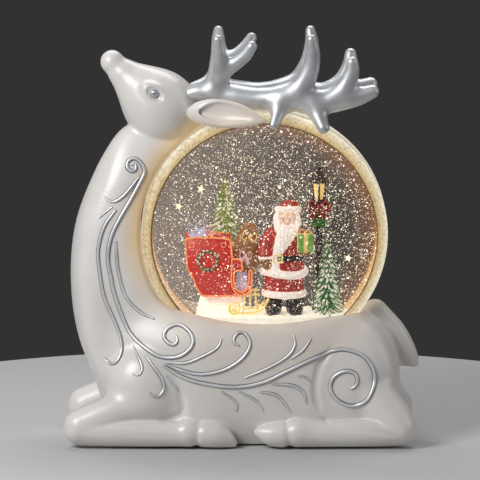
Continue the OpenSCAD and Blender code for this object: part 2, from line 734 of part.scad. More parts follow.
body_shell(left);  // left_body_shell
body_shell(right);  // right_body_shell
antler(left);  // left_antler
antler(right);  // right_antler
ear(left);  // left_ear
ear(right);  // right_ear
eye_bead(left);  // left_eye
eye_bead(right);  // right_eye
front_globe_shell();
rear_globe_shell();
globe_fluid();
port_plug();
port_oring();
impeller_pin();
impeller();
impeller_magnets();
impeller_guard();
snow_ground();
santa_figure();
held_gift();
sleigh_body();
sleigh_runners();
sleigh_gifts();
toy_sack();
back_pine_tree();
front_pine_tree();
lamp_post();
lamp_glass();
lamp_bow();
base_plate();
base_screws();
rubber_feet();
battery_cells();
battery_springs();
battery_contacts();
battery_door();
battery_door_screw();
motor_cradle();
motor_can();
motor_stator_magnets();
motor_bush();
motor_rotor();
drive_magnet_carrier();
drive_magnets();
led_board();
led_lamps();
control_board();
board_components();
switch_body();
switch_knob();
battery_leads();
motor_leads();
led_leads();
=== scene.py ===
"""Looks of the lighted reindeer snow globe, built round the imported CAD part; tables are in millimetres."""

import math

import bmesh
import bpy
import numpy as np
from mathutils import Matrix, Vector


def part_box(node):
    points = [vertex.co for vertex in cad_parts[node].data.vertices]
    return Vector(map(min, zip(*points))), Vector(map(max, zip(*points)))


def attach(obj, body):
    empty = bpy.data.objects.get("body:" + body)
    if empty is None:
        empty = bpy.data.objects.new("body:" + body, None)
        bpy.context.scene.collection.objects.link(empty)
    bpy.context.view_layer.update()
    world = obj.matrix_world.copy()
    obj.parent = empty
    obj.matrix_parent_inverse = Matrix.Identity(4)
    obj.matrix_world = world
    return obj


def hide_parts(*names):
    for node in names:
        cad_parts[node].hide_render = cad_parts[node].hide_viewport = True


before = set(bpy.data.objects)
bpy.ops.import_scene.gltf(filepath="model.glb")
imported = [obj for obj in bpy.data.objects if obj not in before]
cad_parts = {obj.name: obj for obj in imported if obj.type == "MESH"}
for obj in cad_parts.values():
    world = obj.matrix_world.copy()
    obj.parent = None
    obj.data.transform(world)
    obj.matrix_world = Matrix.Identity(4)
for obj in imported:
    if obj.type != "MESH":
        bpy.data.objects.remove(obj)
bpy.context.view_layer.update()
ROOT = "globe_base"
STEP = 1.0  # grid of the sculpted shapes, mm
MM = 0.001


def box_mm(node):
    lo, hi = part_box(node)
    return np.array(lo) * 1000, np.array(hi) * 1000


g_lo, g_hi = box_mm("front_globe_shell")
GLOBE_R = (g_hi[0] - g_lo[0]) / 2
GX = (g_hi[0] + g_lo[0]) / 2
GZ = g_hi[2] - GLOBE_R
CROWN = -g_lo[1]
RIM_HALF, WINDOW_R, WINDOW_HALF, WALL = 13.0, 71.0, 21.0, 2.5
RISE = CROWN - WINDOW_HALF
DOME_R = (WINDOW_R ** 2 + RISE ** 2) / (2 * RISE)
GROUND = 79.0


# ---- materials ----

class Shader:
    """A small helper round one node material. A socket takes another socket, a number or a colour."""

    def __init__(self, name):
        self.mat = bpy.data.materials.new(name)
        self.mat.use_nodes = True
        self.tree = self.mat.node_tree
        self.nodes = self.tree.nodes
        self.nodes.clear()
        self.out = self.add("ShaderNodeOutputMaterial")

    def add(self, kind, **settings):
        n = self.nodes.new(kind)
        for k, v in settings.items():
            setattr(n, k, v)
        return n

    def feed(self, socket, value):
        if isinstance(value, bpy.types.NodeSocket):
            self.tree.links.new(value, socket)
        else:
            socket.default_value = value

    def feed_all(self, node, values):
        for k, v in values.items():
            self.feed(node.inputs[k], v)
        return node

    def bsdf(self, **sockets):
        named = {k.replace("_", " "): v for k, v in sockets.items()}
        return self.feed_all(self.add("ShaderNodeBsdfPrincipled"), named)

    def coords(self):
        return self.add("ShaderNodeTexCoord").outputs["Object"]

    def axis(self, name):
        return self.feed_all(self.add("ShaderNodeSeparateXYZ"), {0: self.coords()}).outputs[name]

    def from_axis(self, x, z):
        """Distance in metres from the line along Y through (x, z) in mm."""
        flat = self.add("ShaderNodeVectorMath", operation="MULTIPLY")
        self.feed_all(flat, {0: self.coords(), 1: (1, 0, 1)})
        away = self.add("ShaderNodeVectorMath", operation="DISTANCE")
        return self.feed_all(away, {0: flat.outputs[0], 1: (x * MM, 0, z * MM)}).outputs["Value"]

    def noise(self, scale, detail=3.0, rough=0.55):
        n = self.add("ShaderNodeTexNoise")
        sockets = {"Scale": scale, "Detail": detail, "Roughness": rough, "Vector": self.coords()}
        return self.feed_all(n, sockets).outputs["Fac"]

    def ramp(self, fac, stops):
        r = self.add("ShaderNodeValToRGB")
        els = r.color_ramp.elements
        while len(els) < len(stops):
            els.new(0.5)
        for e, (pos, col) in zip(els, stops):
            e.position = pos
            e.color = (*col, 1.0)
        return self.feed_all(r, {"Fac": fac}).outputs["Color"]

    def span(self, fac, lo, hi, lo_in=0.0, hi_in=1.0):
        sockets = {"Value": fac, "From Min": lo_in, "From Max": hi_in, "To Min": lo, "To Max": hi}
        return self.feed_all(self.add("ShaderNodeMapRange"), sockets).outputs["Result"]

    def bump(self, height, strength, distance):
        sockets = {"Strength": strength, "Distance": distance, "Height": height}
        return self.feed_all(self.add("ShaderNodeBump"), sockets).outputs["Normal"]

    def calc(self, operation, *values):
        m = self.add("ShaderNodeMath", operation=operation)
        return self.feed_all(m, dict(enumerate(values))).outputs[0]

    def mixed(self, fac, a, b, blend="MIX"):
        """Colour b over colour a."""
        m = self.add("ShaderNodeMix", data_type="RGBA", blend_type=blend)
        return self.feed_all(m, {"Factor": fac, 6: a, 7: b}).outputs[2]

    def layered(self, fac, under, over):
        m = self.add("ShaderNodeMixShader")
        return self.feed_all(m, {0: fac, 1: under.outputs[0], 2: over.outputs[0]})

    def done(self, shader):
        self.feed(self.out.inputs["Surface"], shader.outputs[0])
        return self.mat


def plain_stuff(name, dark, light, rough=(0.4, 0.55), scale=180.0, bump=0.05, metallic=0.0, coat=0.0,
                grain=900.0, glow=None, glow_strength=0.0):
    """Moulded or painted stuff: colour and roughness vary a little, with a fine grain."""
    s = Shader(name)
    n = s.noise(scale)
    b = s.bsdf(Metallic=metallic, Coat_Weight=coat, Coat_Roughness=0.12,
               Base_Color=s.ramp(n, [(0.3, dark), (0.7, light)]), Roughness=s.span(n, *rough))
    if bump:
        s.feed(b.inputs["Normal"], s.bump(s.noise(grain, 2.0), bump, 0.0002))
    # glow: an emission in the given colour; on all callers but the LED lamps it is a painted glow.
    if glow:
        s.feed_all(b, {"Emission Color": (*glow, 1.0), "Emission Strength": glow_strength})
    return s.done(b)


def pearl_paint(name="pearl_paint", amber_mix=0.85, amber_glow=0.12):
    """Pearl white, turning amber in a painted glow where the lit globe shines on it from close by."""
    s = Shader(name)
    white = s.ramp(s.noise(22.0, 4.0), [(0.35, (0.665, 0.632, 0.598)), (0.65, (0.74, 0.716, 0.686))])
    # near and lit carry the painted amber glow: strongest just outside the globe's rim, weaker below 125 mm.
    near = s.span(s.from_axis(GX, GZ), 1.0, 0.0, (GLOBE_R + 0.5) * MM, (GLOBE_R + 15.0) * MM)
    lit = s.calc("MULTIPLY", near, s.span(s.axis("Z"), 0.12, 1.0, 0.080, 0.125))
    return s.done(s.bsdf(
        Metallic=0.0, Coat_Weight=0.55, Coat_Roughness=0.27, Sheen_Weight=0.25, Sheen_Roughness=0.35,
        Base_Color=s.mixed(s.span(lit, 0.0, amber_mix), white, (0.74, 0.47, 0.19, 1)),
        Emission_Color=(1.0, 0.70, 0.34, 1), Emission_Strength=s.span(lit, 0.0, amber_glow),
        Roughness=s.span(s.noise(60.0), 0.36, 0.46), Normal=s.bump(s.noise(260.0, 2.0), 0.04, 0.0003)))


def satin_silver(name="satin_silver", dark=(0.50, 0.515, 0.53), light=(0.72, 0.735, 0.75)):
    s = Shader(name)
    n = s.noise(70.0, 4.0)
    return s.done(s.bsdf(
        Metallic=0.62, Coat_Weight=0.2, Coat_Roughness=0.3, Base_Color=s.ramp(n, [(0.3, dark), (0.7, light)]),
        Roughness=s.span(n, 0.40, 0.48), Normal=s.bump(s.noise(420.0, 3.0), 0.03, 0.0002)))


def lit_shell():
    """Clear styrene: a faint mirror over the window, and a rim with a painted warm glow standing in for the
    LEDs' light.
    """
    s = Shader("clear_shell")
    far = s.from_axis(GX, GZ)
    rim = s.span(far, 0.0, 1.0, (WINDOW_R - 0.9) * MM, (WINDOW_R - 0.3) * MM)
    band = s.span(far, 0.0, 1.0, (WINDOW_R - 1.0) * MM, GLOBE_R * MM)
    # Painted glow: the rim's colours, its emission colour too, run from a dark line at the window's edge to
    # near white at the outer lip.
    rim_glow_tone = s.ramp(band, [(0.0, (0.10, 0.06, 0.02)), (0.12, (0.16, 0.10, 0.03)), (0.2, (0.62, 0.44, 0.20)),
                         (0.45, (0.78, 0.62, 0.36)), (0.72, (0.88, 0.76, 0.52)), (0.9, (1.0, 0.93, 0.74))])
    fleck = s.ramp(s.noise(520.0, 3.0, 0.6), [(0.40, (0.62, 0.58, 0.50)), (0.52, (1.0, 1.0, 1.0))])
    # grain here is the painted rim glow, flecked at random.
    grain = s.mixed(0.8, rim_glow_tone, fleck, "MULTIPLY")
    # The rim's emission is painted light, stronger towards +X.
    lit = s.bsdf(Roughness=0.22, Coat_Weight=0.6, Coat_Roughness=0.05, Emission_Color=grain,
                 Base_Color=s.mixed(1.0, grain, (0.50, 0.52, 0.56, 1), "MULTIPLY"),
                 Emission_Strength=s.span(s.axis("X"), 0.48, 0.70, -0.05, 0.06))
    turn = s.feed_all(s.add("ShaderNodeLayerWeight"), {"Blend": 0.5}).outputs["Facing"]
    clear = s.feed_all(s.add("ShaderNodeBsdfTransparent"), {"Color": (0.985, 0.985, 0.98, 1)})
    gloss = s.feed_all(s.add("ShaderNodeBsdfGlossy"), {"Roughness": 0.04})
    window = s.layered(s.span(s.calc("POWER", turn, 4.5), 0.018, 0.55), clear, gloss)
    return s.done(s.layered(s.calc("MULTIPLY", rim, 0.86), window, lit))


def hazy_water():
    """The fluid's outside face: see-through, with a faint brown-grey painted glow standing in for the light
    of the lit glitter.
    """
    s = Shader("hazy_water")
    # Painted light: the glow turns reddish near the rim, is stronger towards -X and almost gone on the front
    # half.
    edge = s.span(s.from_axis(GX - 9, GZ - 3), 0.0, 1.0, 0.060, 0.079)
    middle = s.ramp(s.noise(16.0, 3.0), [(0.3, (0.20, 0.155, 0.13)), (0.7, (0.27, 0.225, 0.19))])
    far_half = s.span(s.axis("Y"), 0.03, 1.0, -0.002, 0.002)
    level = s.calc("MULTIPLY_ADD", edge, 0.45, s.span(s.axis("X"), 1.05, 0.06, -0.060, 0.080))
    clear = s.feed_all(s.add("ShaderNodeBsdfTransparent"), {"Color": (0.93, 0.93, 0.93, 1)})
    glow = s.feed_all(s.add("ShaderNodeEmission"), {"Color": s.mixed(edge, middle, (0.42, 0.17, 0.07, 1)),
                                                    "Strength": s.calc("MULTIPLY", far_half, level)})
    return s.done(s.feed_all(s.add("ShaderNodeAddShader"), {0: clear.outputs[0], 1: glow.outputs[0]}))


def glitter_foil():
    s = Shader("glitter_foil")
    snap = s.add("ShaderNodeVectorMath", operation="SNAP")
    s.feed_all(snap, {0: s.coords(), 1: (0.0025, 0.0025, 0.0025)})
    cell = s.add("ShaderNodeTexWhiteNoise", noise_dimensions="3D")
    tint = s.ramp(s.feed_all(cell, {"Vector": snap.outputs[0]}).outputs["Value"],
                  [(0.0, (0.34, 0.25, 0.17)), (0.35, (0.80, 0.68, 0.50)), (0.75, (1.0, 0.93, 0.80))])
    # The flakes' emission is a painted glint of the light they catch.
    return s.done(s.bsdf(Metallic=0.7, Roughness=0.25, Base_Color=tint, Emission_Color=tint,
                         Emission_Strength=1.15))


def glowing_snow():
    s = Shader("glowing_snow")
    n = s.noise(420.0, 4.0, 0.7)
    # The snow's emission is a painted warm glow.
    return s.done(s.bsdf(Roughness=0.65, Emission_Strength=0.50, Normal=s.bump(n, 0.5, 0.0006),
                         Base_Color=s.ramp(n, [(0.35, (0.72, 0.63, 0.46)), (0.5, (0.93, 0.89, 0.81)),
                                               (0.7, (0.99, 0.97, 0.94))]),
                                               Emission_Color=s.ramp(s.noise(60.0, 3.0),
                                                                     [(0.3, (1.0, 0.88, 0.62)),
                                                                      (0.6, (1.0, 0.96, 0.84))])))


def brushed_paint(name, dark, light, rough=0.42, glow=0.0, bump=0.25, scale=260.0):
    """Hand-painted resin: blotchy colour, a soft gloss and a fine uneven surface; glow adds a painted glow in
    its light colour.
    """
    return plain_stuff(name, dark, light, (rough - 0.08, rough + 0.12), scale, bump, coat=0.15, grain=1400.0,
                       glow=light if glow else None, glow_strength=glow)


SCROLL = satin_silver("scroll_silver", (0.70, 0.705, 0.71), (0.86, 0.865, 0.87))
# A dark silver: the wider band under the scrollwork is painted shade along the relief's edges together with
# the darker paint in its grooves; it also makes the eye rings.
SCROLL_EDGE = satin_silver("scroll_edge_silver", (0.16, 0.17, 0.19), (0.28, 0.29, 0.32))
EYE = plain_stuff("eye_enamel", (0.48, 0.51, 0.55), (0.68, 0.71, 0.75), (0.16, 0.24), bump=0.0, coat=0.8,
                  metallic=0.3)
SHELL, WATER, GLITTER, SNOW = lit_shell(), hazy_water(), glitter_foil(), glowing_snow()
# The glow on the figures' paints, the gold, the lantern glass and the sparks below is a painted glow; none of
# them is a lamp.
RED = brushed_paint("red_paint", (0.36, 0.018, 0.014), (0.64, 0.038, 0.025), glow=0.37)
DEEP_RED = brushed_paint("coat_paint", (0.28, 0.014, 0.012), (0.50, 0.034, 0.022), glow=0.22)
BOW_RED = brushed_paint("bow_paint", (0.16, 0.010, 0.009), (0.36, 0.028, 0.02), glow=0.09)
ORANGE = brushed_paint("orange_gold_paint", (0.80, 0.24, 0.07), (1.0, 0.34, 0.13), 0.3, glow=0.36)
GOLD = plain_stuff("gold_paint", (0.62, 0.42, 0.10), (0.95, 0.78, 0.34), (0.26, 0.4), metallic=0.45,
                   glow=(0.9, 0.68, 0.28), glow_strength=0.42)
FUR = brushed_paint("white_fur", (0.62, 0.50, 0.45), (0.97, 0.87, 0.81), 0.6, glow=0.44, bump=0.6,
                    scale=700.0)
SKIN = brushed_paint("face_paint", (0.66, 0.40, 0.28), (0.86, 0.58, 0.44), 0.45, glow=0.30)
BLACK = brushed_paint("black_paint", (0.006, 0.006, 0.007), (0.03, 0.028, 0.03), 0.3)
BROWN = brushed_paint("brown_cloth", (0.12, 0.045, 0.012), (0.36, 0.16, 0.042), 0.6, glow=0.22, bump=0.7,
                      scale=500.0)
GREEN = brushed_paint("green_paint", (0.02, 0.09, 0.02), (0.07, 0.26, 0.05), 0.5, glow=0.22)
LIME = brushed_paint("lime_paint", (0.09, 0.19, 0.02), (0.38, 0.46, 0.10), 0.5, glow=0.20)
LILAC = brushed_paint("lilac_wrap", (0.36, 0.36, 0.55), (0.62, 0.66, 0.90), 0.35, glow=0.25)
PINK = brushed_paint("pink_wrap", (0.60, 0.30, 0.32), (0.90, 0.62, 0.64), 0.35, glow=0.25)
WRAP = brushed_paint("green_wrap", (0.10, 0.22, 0.03), (0.26, 0.50, 0.10), 0.35, glow=0.28)
YELLOW = brushed_paint("yellow_ribbon", (0.70, 0.45, 0.10), (0.95, 0.70, 0.28), 0.35, glow=0.30)
AMBER = plain_stuff("lantern_glass", (0.95, 0.62, 0.18), (1.0, 0.84, 0.42), (0.1, 0.2),
                    glow=(1.0, 0.66, 0.24), glow_strength=0.55)
# The warm sparks' material: a painted glint glow.
GLINT_GLOW = plain_stuff("warm_spark", (1.0, 0.75, 0.40), (1.0, 0.88, 0.62), (0.2, 0.3), glow=(1.0, 0.80, 0.48),
                    glow_strength=2.2)


# ---- meshes ----

def in_scene(name, data, mat=None):
    ob = bpy.data.objects.new(name, data)
    bpy.context.scene.collection.objects.link(ob)
    if mat:
        data.materials.append(mat)
    return ob


def piece(name, verts, faces, mat, body=ROOT, smooth=True, replaces=(), slot=None):
    """A mesh object from points in mm, riding on a CAD body."""
    me = bpy.data.meshes.new(name)
    me.from_pydata((np.asarray(verts, float) * MM).tolist(), [], faces)
    me.update()
    bm = bmesh.new()
    bm.from_mesh(me)
    bmesh.ops.recalc_face_normals(bm, faces=bm.faces)
    bm.to_mesh(me)
    bm.free()
    ob = in_scene(name, me, mat)
    if smooth:
        me.polygons.foreach_set("use_smooth", [True] * len(me.polygons))
    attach(ob, body)
    if replaces:
        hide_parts(*replaces)
    return ob


# ---- closed shapes from rules, all in mm ----

def join(parts):
    pts, faces, n = [], [], 0
    for p, f in parts:
        pts.append(np.asarray(p, float))
        faces += [[i + n for i in q] for q in f]
        n += len(p)
    return np.vstack(pts), faces


def turns(n):
    """Angles spread evenly round a circle."""
    return np.linspace(0, 2 * np.pi, n, endpoint=False)


def ring_faces(n, m, loop=False):
    """Faces between n neighbouring rings of m points, with a lid on both ends where they don't close."""
    faces = [[i * m + k, i * m + (k + 1) % m, (i + 1) % n * m + (k + 1) % m, (i + 1) % n * m + k]
             for i in range(n if loop else n - 1) for k in range(m)]
    return faces if loop else faces + [list(range(m))[::-1], [(n - 1) * m + k for k in range(m)]]


def mirrored(shape):
    return np.asarray(shape[0]) * (1, -1, 1), [list(q)[::-1] for q in shape[1]]


def lathe(profile, at=(0, 0, 0), sides=48, about="z", loop=False):
    """Turn (radius, height) points about an axis: a closed loop, or open between two points on the axis."""
    pts, rows, faces = [], [], []
    for r, h in profile:
        rows.append(len(pts) + np.arange(1 if r < 1e-6 else sides))
        a = 2 * np.pi * np.arange(len(rows[-1])) / sides
        pts += np.stack([r * np.cos(a), r * np.sin(a), np.full(len(a), h)], 1).tolist()
    for a, b in list(zip(rows, rows[1:])) + ([(rows[-1], rows[0])] if loop else []):
        for k in range(sides if len(a) + len(b) > 2 else 0):
            m = (k + 1) % sides
            if len(a) == 1:
                faces.append([a[0], b[k], b[m]])
            elif len(b) == 1:
                faces.append([a[k], b[0], a[m]])
            else:
                faces.append([a[k], b[k], b[m], a[m]])
    p = np.array(pts)
    if about == "y":
        p = p[:, [0, 2, 1]]
    return p + at, [[int(i) for i in q] for q in faces]


def ball(at, r, sides=20, rows=12):
    r = np.broadcast_to(r, 3)
    a = np.linspace(-np.pi / 2, np.pi / 2, rows + 1)
    p, f = lathe([(max(math.cos(k), 0) if abs(math.cos(k)) > 1e-9 else 0, math.sin(k)) for k in a],
                 sides=sides)
    return p * r + at, f


def tube(path, radius, sides=12, loop=False, dome=True, flat=None):
    """A bar along a path with domed ends; flat = (direction, factor) squeezes its section."""
    p = np.asarray(path, float)
    r = np.broadcast_to(np.asarray(radius, float), len(p)).astype(float)
    if not loop and dome:
        a = np.radians([75, 50, 25])
        u0, u1 = p[0] - p[1], p[-1] - p[-2]
        u0, u1 = u0 / np.linalg.norm(u0), u1 / np.linalg.norm(u1)
        p = np.vstack([p[0] + u0 * r[0] * np.sin(a)[:, None], p,
                       p[-1] + u1 * r[-1] * np.sin(a[::-1])[:, None]])
        r = np.concatenate([r[0] * np.cos(a), r, r[-1] * np.cos(a[::-1])])
    t = (np.roll(p, -1, 0) - np.roll(p, 1, 0)) if loop else np.gradient(p, axis=0)
    t /= np.maximum(np.linalg.norm(t, axis=1, keepdims=True), 1e-9)
    side = np.cross(t[0], (0.1, 1, 0.2))
    c = 2 * np.pi * np.arange(sides) / sides
    rows = []
    for i in range(len(p)):
        side = side - t[i] * (side @ t[i])
        side /= np.linalg.norm(side)
        ring = r[i] * (np.cos(c)[:, None] * side + np.sin(c)[:, None] * np.cross(t[i], side))
        if flat is not None:
            d = np.asarray(flat[0], float)
            ring -= (ring @ d)[:, None] * d * (1 - flat[1])
        rows.append(p[i] + ring)
    return np.vstack(rows), ring_faces(len(p), sides, loop)


def strap(path, width, thick, side):
    """A flat band along a path; side is the direction across it."""
    p, side = np.asarray(path, float), np.asarray(side, float)
    up = np.cross(np.gradient(p, axis=0), side)
    up /= np.maximum(np.linalg.norm(up, axis=1, keepdims=True), 1e-9)
    w = np.broadcast_to(np.asarray(width, float), len(p))[:, None]
    s, u = side * w / 2, up * thick / 2
    e = min(0.3 * thick, 0.25)
    half = [s - side * e + u, s + u * 0.4, s - u * 0.4, s - side * e - u]
    rows = np.stack([p + k for k in half + [-k for k in half]], 1)
    return rows.reshape(-1, 3), ring_faces(len(p), 2 * len(half))


def slab(outline, y0, y1, bevel=0.35):
    """A flat shape in the XZ plane with a bevelled edge, from y0 to y1."""
    o = np.asarray(outline, float)
    area = np.sum(o[:, 0] * np.roll(o[:, 1], -1) - np.roll(o[:, 0], -1) * o[:, 1])
    d = np.roll(o, -1, 0) - o
    out = np.stack([d[:, 1], -d[:, 0]], 1) / np.linalg.norm(d, axis=1, keepdims=True) * math.copysign(1, area)
    corner = out + np.roll(out, 1, 0)
    corner /= np.maximum(np.sum(corner ** 2, 1, keepdims=True) / 2, 0.5)
    small = o - corner * bevel
    rows = [(small, y0), (o, y0 + bevel), (o, y1 - bevel), (small, y1)]
    pts = np.vstack([np.insert(q, 1, y, axis=1) for q, y in rows])
    return pts, ring_faces(len(rows), len(o))


def block(at, size, bevel):
    """A box with rounded edges about its middle."""
    bm = bmesh.new()
    bmesh.ops.create_cube(bm, size=1)
    bmesh.ops.scale(bm, vec=size, verts=bm.verts)
    bmesh.ops.bevel(bm, geom=bm.edges[:], offset=bevel, segments=3, profile=0.5, affect="EDGES",
                    clamp_overlap=True)
    pts = np.array([v.co[:] for v in bm.verts]) + at
    faces = [[v.index for v in f.verts] for f in bm.faces]
    bm.free()
    return pts, faces


def spikes(base, direction, length, width, sides=3):
    """Small closed needles standing on points."""
    base, d = np.asarray(base, float), np.asarray(direction, float)
    d = d / np.linalg.norm(d, axis=1, keepdims=True)
    n = len(base)
    length, width = np.broadcast_to(length, n)[:, None], np.broadcast_to(width, n)[:, None]
    a = np.cross(d, (0.31, 0.17, 0.93))
    a /= np.linalg.norm(a, axis=1, keepdims=True)
    b = np.cross(d, a)
    ring = [base + width * (math.cos(k) * a + math.sin(k) * b) for k in 2 * np.pi * np.arange(sides) / sides]
    pts = np.stack(ring + [base + d * length], 1).reshape(-1, 3)
    one = [[k, (k + 1) % sides, sides] for k in range(sides)] + [list(range(sides))[::-1]]
    return pts, [[i * (sides + 1) + k for k in f] for i in range(n) for f in one]


def bow(at, wide, high, thick, turn=0.0, fall=1.0):
    """A tied bow facing -Y: two loops, two tails and a knot."""
    t = np.linspace(0, 1, 15)
    parts = []
    for s in (-1, 1):
        x = s * wide * np.sin(np.pi * t) ** 0.8
        z = high * np.sin(2 * np.pi * t) * 0.55 + 0.12 * high * np.sin(np.pi * t)
        y = -0.25 * wide * np.sin(np.pi * t)
        parts.append(strap(np.stack([x, y, z], 1)[1:-1], high * 0.62, thick, (0, 1, 0)))
        u = np.linspace(0, 1, 8)
        tail = np.stack([s * wide * (0.15 + 0.6 * u), -0.12 * wide * np.sin(np.pi * u),
                         -high * fall * (0.2 + u)], 1)
        parts.append(strap(tail, high * 0.4 * (1 + 0.3 * u), thick, (s * 0.86, 0, 0.5)))
    parts.append(ball((0, -0.1 * wide, 0), (wide * 0.2, wide * 0.2, high * 0.32), 14, 8))
    p, f = join(parts)
    c, k = math.cos(math.radians(turn)), math.sin(math.radians(turn))
    x, z = p[:, 0].copy(), p[:, 2].copy()
    p[:, 0], p[:, 2] = c * x + k * z, -k * x + c * z
    return p + at, f


# ---- sculpting with distance fields on a grid ----

def spline(points, n):
    """Catmull-Rom through rows of numbers, n points in all, evenly in the row index."""
    p = np.asarray(points, float)
    p = np.vstack([2 * p[0] - p[1], p, 2 * p[-1] - p[-2]])
    u = np.linspace(0, len(p) - 3 - 1e-6, n)
    i = u.astype(int)
    t = (u - i)[:, None]
    a, b, c, d = p[i], p[i + 1], p[i + 2], p[i + 3]
    square, cube = 2 * a - 5 * b + 4 * c - d, 3 * b - a - 3 * c + d
    return 0.5 * (2 * b + (c - a) * t + square * t ** 2 + cube * t ** 3)


def smooth_min(a, b, k):
    if k <= 0:
        return np.minimum(a, b)
    h = np.maximum(k - np.abs(a - b), 0) / k
    return np.minimum(a, b) - h * h * k * 0.25


FAR = 40.0                                          # a distance beyond every shape, mm
QUAD_EDGES = ((0, 1), (1, 2), (2, 3), (3, 0))


class Field:
    """A distance field sampled on a grid; shapes are added in their own corner of it only."""

    def __init__(self, lo, hi, step):
        self.step = step
        self.lo = np.asarray(lo, float)
        self.n = np.ceil((np.asarray(hi, float) - self.lo) / step).astype(int) + 1
        self.axes = [(self.lo[k] + step * np.arange(self.n[k])).astype(np.float32) for k in range(3)]
        self.f = np.full(self.n, FAR, np.float32)

    def window(self, lo, hi, margin):
        """The slices of the grid that cover a box."""
        out = []
        for k in range(3):
            a = int(np.floor((lo[k] - margin - self.lo[k]) / self.step))
            b = int(np.ceil((hi[k] + margin - self.lo[k]) / self.step)) + 1
            out.append(slice(max(a, 0), max(min(b, self.n[k]), 0)))
        return tuple(out)

    def grid(self, where=(slice(None),) * 3):
        return np.meshgrid(*(axis[w] for axis, w in zip(self.axes, where)), indexing="ij", sparse=True)

    def chain_distance(self, balls, depth, margin):
        """Distance to a tapering limb through balls (x, y, z, r), in the part of the grid round it."""
        b = np.asarray(balls, float)
        reach = b[:, 3:] * np.array([1, depth, 1])
        where = self.window((b[:, :3] - reach).min(0), (b[:, :3] + reach).max(0), margin)
        d = np.full([s.stop - s.start for s in where], FAR, np.float32)
        for p, q in zip(b[:-1], b[1:]):
            r_big = (max(p[3], q[3]) + margin) * max(depth, 1)
            w = self.window(np.minimum(p, q)[:3] - r_big, np.maximum(p, q)[:3] + r_big, 0)
            w = tuple(slice(max(s.start, o.start), min(s.stop, o.stop)) for s, o in zip(w, where))
            if any(s.stop <= s.start for s in w):
                continue
            xs, ys, zs = self.grid(w)
            ab = (q - p)[:3].copy()
            ab[1] /= depth
            px, py, pz = xs - p[0], (ys - p[1]) / depth, zs - p[2]
            t = np.clip((px * ab[0] + py * ab[1] + pz * ab[2]) / max(ab @ ab, 1e-9), 0, 1)
            e = np.sqrt((px - t * ab[0]) ** 2 + (py - t * ab[1]) ** 2 + (pz - t * ab[2]) ** 2)
            e = e - (p[3] + t * (q[3] - p[3]))
            inner = tuple(slice(s.start - o.start, s.stop - o.start) for s, o in zip(w, where))
            d[inner] = np.minimum(d[inner], e)
        return where, d

    def blend(self, where, d, k, carve):
        """Add a shape to the part of the grid where it was measured, or carve it away."""
        sign = -1 if carve else 1
        self.f[where] = sign * smooth_min(sign * self.f[where], d, k)

    def limb(self, balls, k=3.0, depth=1.0, n=None, carve=False):
        if len(balls) > 2 or n:
            balls = spline(balls, n or max(8, 5 * len(balls)))
        where, d = self.chain_distance(balls, depth, 6.0 if carve else 9.0)
        self.blend(where, d, k, carve)

    def ellipsoid(self, c, r, k, tilt=0.0, carve=False):
        where = self.window(np.asarray(c) - max(r), np.asarray(c) + max(r), 9.0)
        x, y, z = (axis - middle for axis, middle in zip(self.grid(where), c))
        ct, st = math.cos(math.radians(tilt)), math.sin(math.radians(tilt))
        x, z = ct * x + st * z, -st * x + ct * z
        k0 = np.sqrt((x / r[0]) ** 2 + (y / r[1]) ** 2 + (z / r[2]) ** 2)
        k1 = np.sqrt((x / r[0] ** 2) ** 2 + (y / r[1] ** 2) ** 2 + (z / r[2] ** 2) ** 2)
        self.blend(where, (k0 * (k0 - 1) / np.maximum(k1, 1e-6)).astype(np.float32), k, carve)

    def cut(self, d, k=0.0):
        """Take away where d < 0."""
        self.f = -smooth_min(-self.f, d, k)

    def ripple(self, height):
        """Raise or lower the surface a little."""
        self.f = (self.f + height).astype(np.float32)

    def sample(self, p):
        """Trilinear value at points (n, 3) in mm."""
        q = (np.asarray(p) - self.lo) / self.step
        q = np.clip(q, 0, self.n - 1.001)
        i = q.astype(int)
        t = q - i
        share = (1 - t, t)
        out = 0
        for a, b, c in np.ndindex(2, 2, 2):
            w = share[a][:, 0] * share[b][:, 1] * share[c][:, 2]
            out = out + w * self.f[i[:, 0] + a, i[:, 1] + b, i[:, 2] + c]
        return out

    def gradient(self, p, e=0.8):
        p = np.asarray(p, float)
        g = np.stack([self.sample(p + d) - self.sample(p - d) for d in np.eye(3) * e], axis=1)
        return g / np.maximum(np.linalg.norm(g, axis=1, keepdims=True), 1e-9)

    def net(self):
        """Surface net of the zero level: points (mm) and quads."""
        f, cells = self.f, tuple(self.n - 1)
        total = np.zeros((int(np.prod(cells)), 3), np.float32)
        count = np.zeros(int(np.prod(cells)), np.float32)
        edges = []
        for ax in range(3):
            lo, hi = [slice(None)] * 3, [slice(None)] * 3
            lo[ax], hi[ax] = slice(0, -1), slice(1, None)
            a, b = f[tuple(lo)], f[tuple(hi)]
            i = np.argwhere((a < 0) != (b < 0))
            va, vb = a[tuple(i.T)], b[tuple(i.T)]
            p = i.astype(np.float32)
            p[:, ax] += va / (va - vb)
            o1, o2 = (ax + 1) % 3, (ax + 2) % 3
            around, fine = [], np.ones(len(i), bool)
            for d1, d2 in ((1, 1), (0, 1), (0, 0), (1, 0)):
                c = i.copy()
                c[:, o1] -= d1
                c[:, o2] -= d2
                ok = np.all((c >= 0) & (c < cells), axis=1)
                flat = np.ravel_multi_index(np.clip(c, 0, np.array(cells) - 1).T, cells)
                for axis in range(3):
                    share = np.bincount(flat[ok], weights=p[ok, axis], minlength=len(total))
                    total[:, axis] += share.astype(np.float32)
                count += np.bincount(flat[ok], minlength=len(total)).astype(np.float32)
                around.append(flat)
                fine &= ok
            quad = np.stack(around, axis=1)[fine]
            flip = (va >= 0)[fine]
            quad[flip] = quad[flip][:, ::-1]
            edges.append(quad)
        used = np.flatnonzero(count)
        index = np.full(len(total), -1)
        index[used] = np.arange(len(used))
        pts = self.lo + (total[used] / count[used, None]) * self.step
        return pts, index[np.vstack(edges)]


